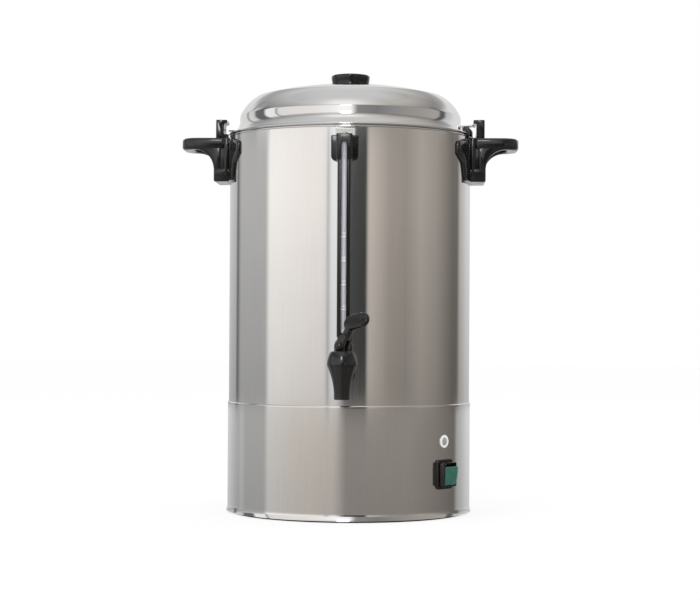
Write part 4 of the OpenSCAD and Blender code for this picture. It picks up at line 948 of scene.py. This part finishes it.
@dataclass
class Gauge:
    """The sight glass in its guard, with its cap, collar, strap and printed scale."""

    at: float = 146.0
    glass_r: float = 4.3
    glass_low: float = 169.3
    glass_top: float = 387.6
    width: float = 13.4
    window: float = 5.4
    bore: float = 4.6
    low: float = 189.05
    top: float = 388.0
    window_low: float = 193.0
    window_top: float = 385.0
    wall: float = 1.2
    film: Point = (0.12, 0.02)
    corner: float = 2.0
    slack: float = 0.1
    cap_low: float = 360.0
    tank_r: float = 130.05
    tick_high: float = 0.9
    tick_parts: int = 8
    print_thick: float = 0.04
    print_lift: float = 0.06
    figure_high: float = 4.6
    figure_gap: float = 1.4
    scale: tuple[tuple[str, float], ...] = (
        ("30", 192.6), ("40", 216.8), ("50", 241.5), ("60", 265.4), ("70", 289.7))

    def build(self) -> None:
        """Builds the gauge from its liner outwards."""
        self._liner()
        self._tube()
        self._guard()
        self._cap()
        self._collar()
        self._print()
        dress({Finishes.INNER: ("gauge_strap",), Finishes.FASTENER: ("gauge_screw",),
               Finishes.RUBBER: ("gauge_seals",)})

    def _liner(self) -> None:
        """Builds the pale film behind the glass, which makes the level readable."""
        inner, outer = (self.bore - depth for depth in self.film)
        low, high = self.low + 0.5, self.top - 0.5
        film = [(inner, low), (outer, low), (outer, high), (inner, high)]
        Piece("gauge_liner", Body.URN, Finishes.LINER, Slot.TRIM).make(
            Form().sector(film, -30, 210, 24).forward(self.at))

    def _tube(self) -> None:
        """Builds the glass tube."""
        tube = Form().rod(self.glass_r, self.glass_low, self.glass_top, 48, self.glass_r - self.wall)
        Piece("sight_glass", Body.URN, Finishes.GLASS, Slot.GLASS, ("gauge_tube",)).make(tube.forward(self.at))

    def _window(self, low: float) -> Form:
        """Builds the cutter for the window, arched at its top.

        Args:
            low: The height that it starts from.

        Returns:
            The cutter.
        """
        half = self.window / 2
        outline = [(-half, low), (half, low)] + arc((0, self.window_top - half), half, 0, 180, 10)
        return Form().plate(outline, 0.0, 20.0).move(UPRIGHT)

    def _guard(self) -> None:
        """Builds the square guard with its bore and window."""
        outline = rounded(self.width, self.width, self.corner)
        guard = Form().plate(outline, self.low, self.top).soften(0.5, 2, 60)
        guard.carve(Form().rod(self.bore, 100, 450, 40))
        guard.carve(self._window(self.window_low))
        Piece("guard_moulding", Body.URN, Finishes.TRIM, Slot.TRIM, ("gauge_guard",)).make(guard.forward(self.at))

    def _pocket(self) -> Form:
        """Builds the cutter for the guard's end."""
        wide = self.width + self.slack
        return Form().plate(rounded(wide, wide, self.corner), self.cap_low, self.top + self.slack / 2)

    def _cap(self) -> None:
        """Builds the cap that holds the guard's top against the tank."""
        face = arc((12.4, 391.4), 1.6, 0, 90, 4) + arc((-12.4, 391.4), 1.6, 90, 180, 4)
        face += arc((-9.0, 372.0), 5.0, 180, 270, 6) + arc((9.0, 372.0), 5.0, 270, 360, 6)
        plate = Form().plate(face, 129.0 - self.at, 138.0 - self.at).soften(1.0, 3).move(UPRIGHT)
        boss = Form().plate(rounded(16.2, 22.1, self.corner, (0.0, 3.0)), 367.0, 393.0).soften(0.9, 3, 60)
        boss.carve(self._pocket()).carve(self._window(self.cap_low))
        tank = Form().rod(self.tank_r, 350, 410, ROUND)
        plate.carve(self._pocket())
        cap = Form().join(plate, boss).forward(self.at)
        Piece("cap_moulding", Body.URN, Finishes.TRIM, Slot.TRIM, ("gauge_cap",)).make(cap.carve(tank))

    def _collar(self) -> None:
        """Builds the round collar under the guard."""
        outline = [(7.1, 166.0)] + arc((8.7, 166.8), 0.8, -90, 0, 4) + arc((0.9, 180.0), 8.6, 0, 50, 10)
        outline += [(6.4, 189.0), (self.bore, 189.0), (self.bore, 175.1), (7.1, 175.1)]
        Piece("collar_moulding", Body.URN, Finishes.TRIM, Slot.TRIM, ("gauge_collar",)).make(
            Form().turn(outline, 64).forward(self.at))

    def _print(self) -> None:
        """Prints ticks and cup numbers on the glass."""
        marks = Form()
        wide = self.window / self.tick_parts
        for word, height in self.scale:
            for step in range(self.tick_parts):
                across = (step - self.tick_parts // 2 + 0.5) * wide
                marks.block((wide, self.print_thick, self.tick_high), (across, 0.0, height))
            marks.join(self._word(word, self.figure_high, height + self.figure_gap))
        bmesh.ops.triangulate(marks.mesh, faces=marks.mesh.faces)
        front = self.glass_r + self.print_lift
        for vert in marks.mesh.verts:
            vert.co.y -= math.sqrt(max(front * front - vert.co.x ** 2, 0.0))
        Piece("gauge_scale", Body.URN, Finishes.PRINT, Slot.GLASS).make(marks.forward(self.at))

    @staticmethod
    def _word(word: str, size: float, low: float) -> Form:
        """Builds one upright number, centred on the gauge.

        Args:
            word: The number.
            size: The height of its figures.
            low: The height of its foot.

        Returns:
            The number's form.
        """
        curve = bpy.data.curves.new("number", "FONT")
        curve.body, curve.size, curve.align_x = word, size, "CENTER"
        holder = put("number", curve)
        bpy.context.view_layer.update()
        mesh = bpy.data.meshes.new_from_object(holder.evaluated_get(bpy.context.evaluated_depsgraph_get()))
        form = Form()
        form.mesh.from_mesh(mesh)
        bpy.data.objects.remove(holder)
        bpy.data.curves.remove(curve)
        bpy.data.meshes.remove(mesh)
        return form.move(Matrix.Translation((0, 0, low)) @ UPRIGHT)


@dataclass
class Tap:
    """The tap: spout and shank, bonnet, spring, and a lever with a ribbed paddle."""

    at: float = 174.0
    gauge_at: float = 146.0
    shank_high: float = 152.5
    pin_high: float = 180.0
    heel: float = 4.85
    lever_az: float = 60.0
    cheek_at: float = 4.8
    cheek_half: float = 2.0
    ball_r: float = 4.7
    ball_at: float = 6.8
    ball_flat: Triple = (1.0, 0.75, 1.0)
    neck_size: Triple = (7.6, 10.5, 17.0)
    neck_at: Triple = (7.4, 0.0, 14.0)
    neck_lean: float = 23.0
    paddle_at: Triple = (16.8, 0.0, 24.4)
    paddle_roll: float = 62.0
    paddle_lean: float = -13.0
    paddle_out: float = 6.5
    paddle_r: float = 8.0
    paddle_half: float = 3.0
    rib_rows: tuple[float, ...] = (1.8, 4.0, 6.2)
    rib_r: float = 0.85
    spring_z: Point = (157.5, 169.3)
    spring_r: float = 4.45
    spring_turns: int = 5
    coil_steps: int = 16
    wire_r: float = 0.5
    wire_sides: int = 8

    def build(self) -> None:
        """Builds the spout, bonnet, lever and spring, and dresses the works."""
        self._spout()
        self._bonnet()
        self._lever()
        self._spring()
        dress({Finishes.FASTENER: ("lever_pin",), Finishes.MOULDING: ("tap_stem",), Finishes.TRIM: ("tap_nut",),
               Finishes.RUBBER: ("tap_gaskets",), Finishes.SILICONE: ("tap_seat",)})

    def _spring(self) -> None:
        """Winds the spring that sits between the bonnet's roof and the lifting seat."""
        low, high = self.spring_z
        steps = self.spring_turns * self.coil_steps
        section = arc((self.spring_r, 0.0), self.wire_r, 0, 360, self.wire_sides)[:-1]
        coil, rings = Form(), []
        for step in range(steps + 1):
            place = Matrix.Translation((0, -self.at, low + (high - low) * step / steps))
            place = place @ turned(360.0 * step / self.coil_steps, "Z")
            rings.append([coil.mesh.verts.new(place @ Vector((x, 0.0, z))) for x, z in section])
        for first, second in zip(rings, rings[1:]):
            for i in range(self.wire_sides):
                coil.mesh.faces.new((first[i], first[i - 1], second[i - 1], second[i]))
        for ring in (rings[0], rings[-1]):
            coil.mesh.faces.new(ring)
        Piece("spring_coil", Body.SWIVEL, Finishes.FASTENER, Slot.FASTENERS, ("tap_spring",), far_body=Body.STEM,
              stretch=((0.0, -self.at, high), (0.0, -self.at, low))).make(coil)

    def _spout(self) -> None:
        """Builds the flaring spout, its shank and flange, and the boss under the gauge."""
        outline = [(4.5, 147.5), (4.5, 127.6), (5.1, 127.0), (7.6, 127.0), (8.0, 127.4)]
        outline += arc((77.95, 130.0), 69.95, 180, 154.2, 12)
        outline += [(12.0, 160.5), (12.0, 166.0), (7.5, 166.0), (7.5, 147.5)]
        spout = Form().turn(outline, 72).forward(self.at)
        lying = Matrix.Translation((0, 0, self.shank_high)) @ UPRIGHT
        shank = Form().rod(7.5, 112.0, 166.0, 48, 4.5).move(lying)
        flange = Form().turn(
            [(7.0, 132.0), (11.1, 132.0), (11.5, 132.4), (11.5, 134.2), (10.7, 135.0), (7.0, 135.0)], 64)
        boss = Form().turn(
            [(0, 152.5), (7.0, 152.5), (7.0, 175.0), (5.6, 175.0), (5.6, 169.0), (0, 169.0)], 48, closed=False)
        spout.join(shank, flange.move(lying), boss.forward(self.gauge_at))
        Piece("spout_moulding", Body.URN, Finishes.MOULDING, Slot.MOULDING, ("tap_body",)).make(spout)

    def _bonnet(self) -> None:
        """Builds the crowned bonnet."""
        outline = [(3.05, 170.0), (9.0, 170.0), (9.0, 166.7), (12.05, 166.7), (12.05, 160.6), (14.6, 160.6)]
        outline += arc((14.6, 161.2), 0.6, -90, 0, 4) + arc((15.2 - 22.96, 162.2), 22.96, 0, 31.0, 10)
        outline += arc((10.3, 174.0), 1.0, 40, 90, 4) + [(3.05, 175.0)]
        Piece("bonnet_moulding", Body.URN, Finishes.MOULDING, Slot.MOULDING, ("tap_bonnet",)).make(
            Form().turn(outline, 72).forward(self.at))

    def _lever(self) -> None:
        """Builds the lever: two cheeks with round bosses, a neck and a paddle with three ribs."""
        cheek = arc((0, 0), self.heel, 130, 330, 16) + [(6.4, 3.0), (9.0, 9.5), (6.0, 12.5), (1.0, 10.5)]
        lever = Form()
        for side in (-1, 1):
            middle = side * self.cheek_at
            plate = Form().plate(cheek, middle - self.cheek_half, middle + self.cheek_half).soften(0.8, 2, 50)
            lever.join(plate.move(UPRIGHT))
            lever.join(Form().ball(self.ball_r, (0.0, side * self.ball_at, 0.0), self.ball_flat))
        neck = Form().block(self.neck_size, (0, 0, 0)).soften(2.4, 4)
        neck.move(Matrix.Translation(self.neck_at) @ turned(self.neck_lean, "Y"))
        out, radius = self.paddle_out, self.paddle_r
        paddle = arc((-out, 0), radius, 90, 270, 18) + arc((out, 0), radius, -90, 90, 18)
        blade = Form().plate(paddle, -self.paddle_half, self.paddle_half).soften(2.2, 4)
        for row in self.rib_rows:
            rib = arc((row, self.paddle_half), self.rib_r, 0, 360, 8)[:-1]
            blade.join(Form().sector(rib, -75, 75, 14).move(Matrix.Translation((out, 0, 0))))
        lean = turned(self.paddle_lean, "Y") @ turned(self.paddle_roll, "X")
        lever.join(neck, blade.move(Matrix.Translation(self.paddle_at) @ lean))
        turn = turned(self.lever_az - 90, "Z")
        lever.move(Matrix.Translation((0, -self.at, self.pin_high)) @ turn)
        Piece("lever_moulding", Body.LEVER, Finishes.MOULDING, Slot.MOULDING, ("tap_lever",)).make(lever)


@dataclass
class Controls:
    """The rocker switch and the pilot lamp, with the inlet and the works inside the base."""

    azimuth: float = 51.5
    skirt_r: float = 131.0
    switch_high: float = 47.0
    lamp_high: float = 81.0
    tilt: float = 9.0
    opening: Triple = (18.6, 22.6, 1.4)
    body_size: Triple = (20.0, 26.0, 21.2)
    body_at: Triple = (0.0, 0.0, -11.4)
    rocker_high: float = 9.5
    rocker_half: float = 10.0
    rocker_wide: float = 18.0
    rocker_dish: float = 1.2
    rocker_at: float = 1.5

    def build(self) -> None:
        """Builds the switch and the lamp, and dresses the inlet and the works inside the base."""
        self._switch()
        self._lamp()
        dress({
            Finishes.TRIM: ("power_inlet",), Finishes.FASTENER: ("inlet_screws", "lamp_nut", "heater_nut"),
            Finishes.BRASS: ("inlet_pins", "switch_terminals"), Finishes.SHEATH: ("boil_element", "warm_element"),
            Finishes.INNER: ("heater_plate",), Finishes.CONTROL: ("thermostat", "thermal_cutout"),
            Finishes.CERAMIC: ("terminal_block",), Finishes.SLEEVE: ("wiring_loom",),
            Finishes.LENS: ("lamp_bulb",)})

    def _switch(self) -> None:
        """Builds the switch's bezel and its curved rocker."""
        seat = outward(self.azimuth, self.skirt_r, self.switch_high)
        opening = rounded(*self.opening)
        bezel = Form().frame(rounded(25.0, 31.0, 3.0), opening, -0.8, 2.0).soften(0.7, 3, 60)
        collar = Form().frame(rounded(21.0, 25.0, 2.0), opening, 0.0, 8.5).soften(0.4, 2, 60)
        body = Form().block(self.body_size, self.body_at)
        Piece("switch_frame", Body.URN, Finishes.TRIM, Slot.TRIM, ("switch_bezel",)).make(
            bezel.join(collar, body).move(seat))
        face_r, reach = bow(self.rocker_half, self.rocker_dish)
        outline = arc((self.rocker_high - face_r, 0), face_r, -reach, reach, 14)
        outline += [(0.0, 8.0), (-0.6, 3.0), (-0.6, -3.0), (0.0, -8.0)]
        rocker = Form().plate(outline, -self.rocker_wide / 2, self.rocker_wide / 2).soften(0.7, 3, 50)
        stand = Matrix(((0, 0, 1, 0), (0, 1, 0, 0), (1, 0, 0, 0), (0, 0, 0, 1)))
        tip = Matrix.Translation((0, 0, self.rocker_at)) @ turned(self.tilt, "X")
        Piece("rocker_cap", Body.ROCKER, Finishes.ROCKER, Slot.ROCKER, ("switch_rocker",)).make(
            rocker.move(seat @ tip @ stand))

    def _lamp(self) -> None:
        """Builds the lamp's bright ring and its domed lens."""
        seat = outward(self.azimuth, self.skirt_r, self.lamp_high)
        ring = [(3.95, -14.0), (4.6, -14.0), (4.6, -1.0), (6.75, -1.0), (6.75, 0.0)]
        ring += arc((5.85, 0.0), 0.9, 0, 90, 8) + [(4.5, 0.9), (3.95, 0.5)]
        Piece("lamp_surround", Body.URN, Finishes.RING, Slot.LAMP_RING, ("lamp_bezel",)).make(
            Form().turn(ring, 64).move(seat))
        lens = [(0.0, -10.0), (3.9, -10.0), (3.9, 0.2)] + arc((0, -2.8), 4.9, 37.3, 90, 12)
        Piece("lamp_dome", Body.URN, Finishes.LENS, Slot.LAMP, ("lamp_lens",)).make(
            Form().turn(lens, 48, closed=False).move(seat))


@dataclass
class BrewingSet:
    """The pump, basket and spreader inside the tank, which keep their CAD shapes."""

    aluminium: tuple[str, ...] = ("pump_tube", "pump_foot", "filter_basket", "basket_spreader")
    brass: tuple[str, ...] = ("pump_valve",)

    def build(self) -> None:
        """Dresses the set."""
        dress({Finishes.ALUMINIUM: self.aluminium, Finishes.BRASS: self.brass})


def grey(level: float, warm: float = 0.0) -> Colour:
    """Gives a grey of a linear level, warmed by a share."""
    return (level * (1 + warm), level, level * (1 - warm))


@dataclass
class Studio:
    """The camera, the white floor, and the soft light around the urn.

    Each tone gives a turn from the front in degrees, or a height for the ring, then a grey level and its warmth.
    """

    lens: float = 92.85
    distance: float = 1.960
    turn: float = 2.3
    height: float = 0.1957
    shift: Point = (0.001, 0.0434)
    roll: float = -0.32
    walls: Tones = (
        (-180, 0.75), (-136, 0.5), (-132, 0.13), (-124, 0.46), (-84, 0.46, 0.02), (-79, 0.94, 0.03),
        (-66, 0.92, 0.04), (-24, 0.84, 0.05), (-20, 0.8), (-18, 0.45), (-15, 0.86), (-9, 0.86), (-2, 0.08),
        (17, 0.05), (20, 0.52, 0.1), (40, 0.32, 0.12), (56, 0.29, 0.1), (73, 0.37, 0.1), (92, 0.3, 0.1),
        (116, 0.15, 0.1), (126, 0.14, 0.1), (132, 0.44, 0.05), (150, 0.68), (180, 0.75))
    floor_tones: Tones = (
        (-180, 0.75), (-150, 0.62), (-126, 0.42), (-119, 0.5), (-112, 0.4), (-84, 0.4, 0.02),
        (-79, 0.6, 0.03), (-45, 0.53, 0.08), (-12, 0.48, 0.08), (0, 0.26, 0.08), (60, 0.26, 0.1),
        (92, 0.2, 0.1), (120, 0.14, 0.1), (126, 0.4), (150, 0.66), (180, 0.75))
    lid_walls: Tones = (
        (-180, 0.75), (-136, 0.7), (-132, 0.25), (-127, 0.7), (-117, 0.6), (-113, 0.14), (-99, 0.12),
        (-96, 0.85), (-83, 0.85), (-81, 0.2), (-78, 0.74), (-40, 0.78, 0.04), (-20, 0.88), (-8, 1.0),
        (3, 1.0), (9, 0.24), (30, 0.2), (46, 0.26), (66, 0.3, 0.08), (106, 0.36, 0.06), (110, 0.08),
        (116, 0.12), (121, 0.5), (140, 0.72), (180, 0.75))
    lid_tones: Tones = (
        (-180, 0.7), (-120, 0.5), (-80, 0.5), (-45, 0.62), (-20, 0.9, 0.03), (3, 0.92, 0.03),
        (25, 0.66, 0.04), (55, 0.46, 0.06), (90, 0.46, 0.05), (130, 0.4, 0.04), (180, 0.7))
    ring: Tones = ((0.42, 1.0), (0.52, 0.58), (0.62, 0.62), (0.8, 1.0))
    zenith: Colour = grey(0.6)
    sensor: float = 36.0
    floor_r: float = 9.0
    floor_glow: float = 0.8
    wall_fade: Point = (-0.04, 0.075)
    floor_fade: Point = (-0.1, -0.042)
    floor_to: Point = (-0.0435, -0.0405)
    lid_from: Point = (0.108, 0.125)
    top_from: Point = (0.45, 0.62)
    zenith_from: Point = (0.85, 0.97)

    def build(self) -> None:
        """Sets up the camera, the floor, the surroundings and the lamps."""
        bpy.context.scene.view_settings.view_transform = "Standard"
        self._camera()
        self._floor()
        self._surroundings()
        self._lamp("key_lamp", (-1.1, -1.3, 1.9), (0, 0, 0.2), (0.7, 0.5), 8.0, False)
        self._lamp("fill_lamp", (1.4, 0.6, 1.6), (0, 0, 0.3), (0.6, 0.6), 5.0, False)
        self._lamp("front_lamp", (-0.1, -2.4, 1.45), (0, 0, 0.3), (0.4, 0.7), 7.0, True)

    def _camera(self) -> None:
        """Places the camera, level but for a slight roll."""
        data = bpy.data.cameras.new("camera")
        data.lens, data.sensor_width, data.sensor_fit = self.lens, self.sensor, "HORIZONTAL"
        data.shift_x, data.shift_y = self.shift
        camera = put("camera", data)
        turn = math.radians(self.turn)
        camera.location = (self.distance * math.sin(turn), -self.distance * math.cos(turn), self.height)
        camera.rotation_euler = (math.pi / 2, math.radians(self.roll), turn)
        bpy.context.scene.camera = camera

    def _floor(self) -> None:
        """Lays the pale floor, white to the camera but for the urn's own shadow."""
        sheet = Form()
        bmesh.ops.create_circle(sheet.mesh, cap_ends=True, segments=96, radius=self.floor_r)
        floor = put("floor", sheet.spend("floor"))
        material = bpy.data.materials.new("white_floor")
        wiring = wired(material)
        point = wiring.add("TexCoord").outputs["Object"]
        mottle = Effect.MARKS.place(wiring, point, 3.0)
        tone = wiring.blend(mottle, (*grey(0.95), 1.0), (*grey(0.97), 1.0))
        matt = wiring.add("BsdfDiffuse", {"Color": tone})
        glow = wiring.add("Emission", {"Color": WHITE, "Strength": 1.0})
        share = wiring.math("MULTIPLY", wiring.seen(), self.floor_glow)
        mix = wiring.add("MixShader", {0: share, 1: matt.outputs[0], 2: glow.outputs[0]})
        wiring.add("OutputMaterial", {"Surface": mix.outputs[0]})
        floor.data.materials.append(material)
        floor.visible_glossy = False

    def _surroundings(self) -> None:
        """Wires the room: white to the camera, soft to matt surfaces, with panels of light in the steel."""
        world = bpy.data.worlds.new("studio")
        bpy.context.scene.world = world
        wiring = wired(world)
        ray = wiring.add("SeparateXYZ", {0: wiring.add("TexCoord").outputs["Generated"]})
        x, y, z = (ray.outputs[i] for i in range(3))
        turn = wiring.math("ARCTAN2", x, wiring.math("MULTIPLY", y, -1.0))
        around = wiring.math("ADD", wiring.math("DIVIDE", turn, math.tau), 0.5)
        low, walls, sides, tops = (
            wiring.ramp(around, [(at / 360 + 0.5, grey(*tone)) for at, *tone in tones])
            for tones in (self.floor_tones, self.walls, self.lid_walls, self.lid_tones))
        walls = wiring.blend(wiring.span(z, 0.7, 1.0, *self.wall_fade), BLACK, walls)
        low = wiring.blend(wiring.span(z, 0.82, 1.0, *self.floor_fade), BLACK, low)
        tops = wiring.blend(wiring.span(z, 0.0, 1.0, *self.zenith_from), tops, (*self.zenith, 1.0))
        panels = wiring.blend(wiring.span(z, 0.0, 1.0, *self.lid_from), walls, sides)
        panels = wiring.blend(wiring.span(z, 0.0, 1.0, *self.top_from), panels, tops)
        panels = wiring.times(panels, wiring.ramp(z, [(at, grey(*tone)) for at, *tone in self.ring]))
        panels = wiring.blend(wiring.span(z, 1.0, 0.0, *self.floor_to), panels, low)
        soft = wiring.blend(wiring.add("LightPath").outputs["Is Glossy Ray"], WHITE, panels)
        shown = wiring.blend(wiring.seen(), soft, WHITE)
        light = wiring.add("Background", {"Color": shown, "Strength": 1.0})
        wiring.add("OutputWorld", {"Surface": light.outputs[0]})

    @staticmethod
    def _lamp(name: str, place: Sequence[float], target: Sequence[float], size: Point, power: float,
              glints: bool) -> None:
        """Hangs one soft lamp.

        Args:
            name: The lamp's name.
            place: Where it hangs.
            target: The point it faces.
            size: Its width and height.
            power: Its power in watts.
            glints: Whether gloss shows it.
        """
        data = bpy.data.lights.new(name, "AREA")
        data.shape, data.size, data.size_y, data.energy = "RECTANGLE", size[0], size[1], power
        lamp = put(name, data)
        lamp.location = place
        lamp.rotation_euler = (Vector(target) - Vector(place)).to_track_quat("-Z", "Y").to_euler()
        lamp.visible_glossy = glints


def main() -> None:
    """Builds the urn's sub-assemblies in order."""
    logging.basicConfig(level=logging.INFO, format="%(message)s")
    for assembly in (Studio, Shell, Lid, Handles, Gauge, Tap, Controls, BrewingSet):
        assembly().build()


if __name__ == "__main__":
    main()
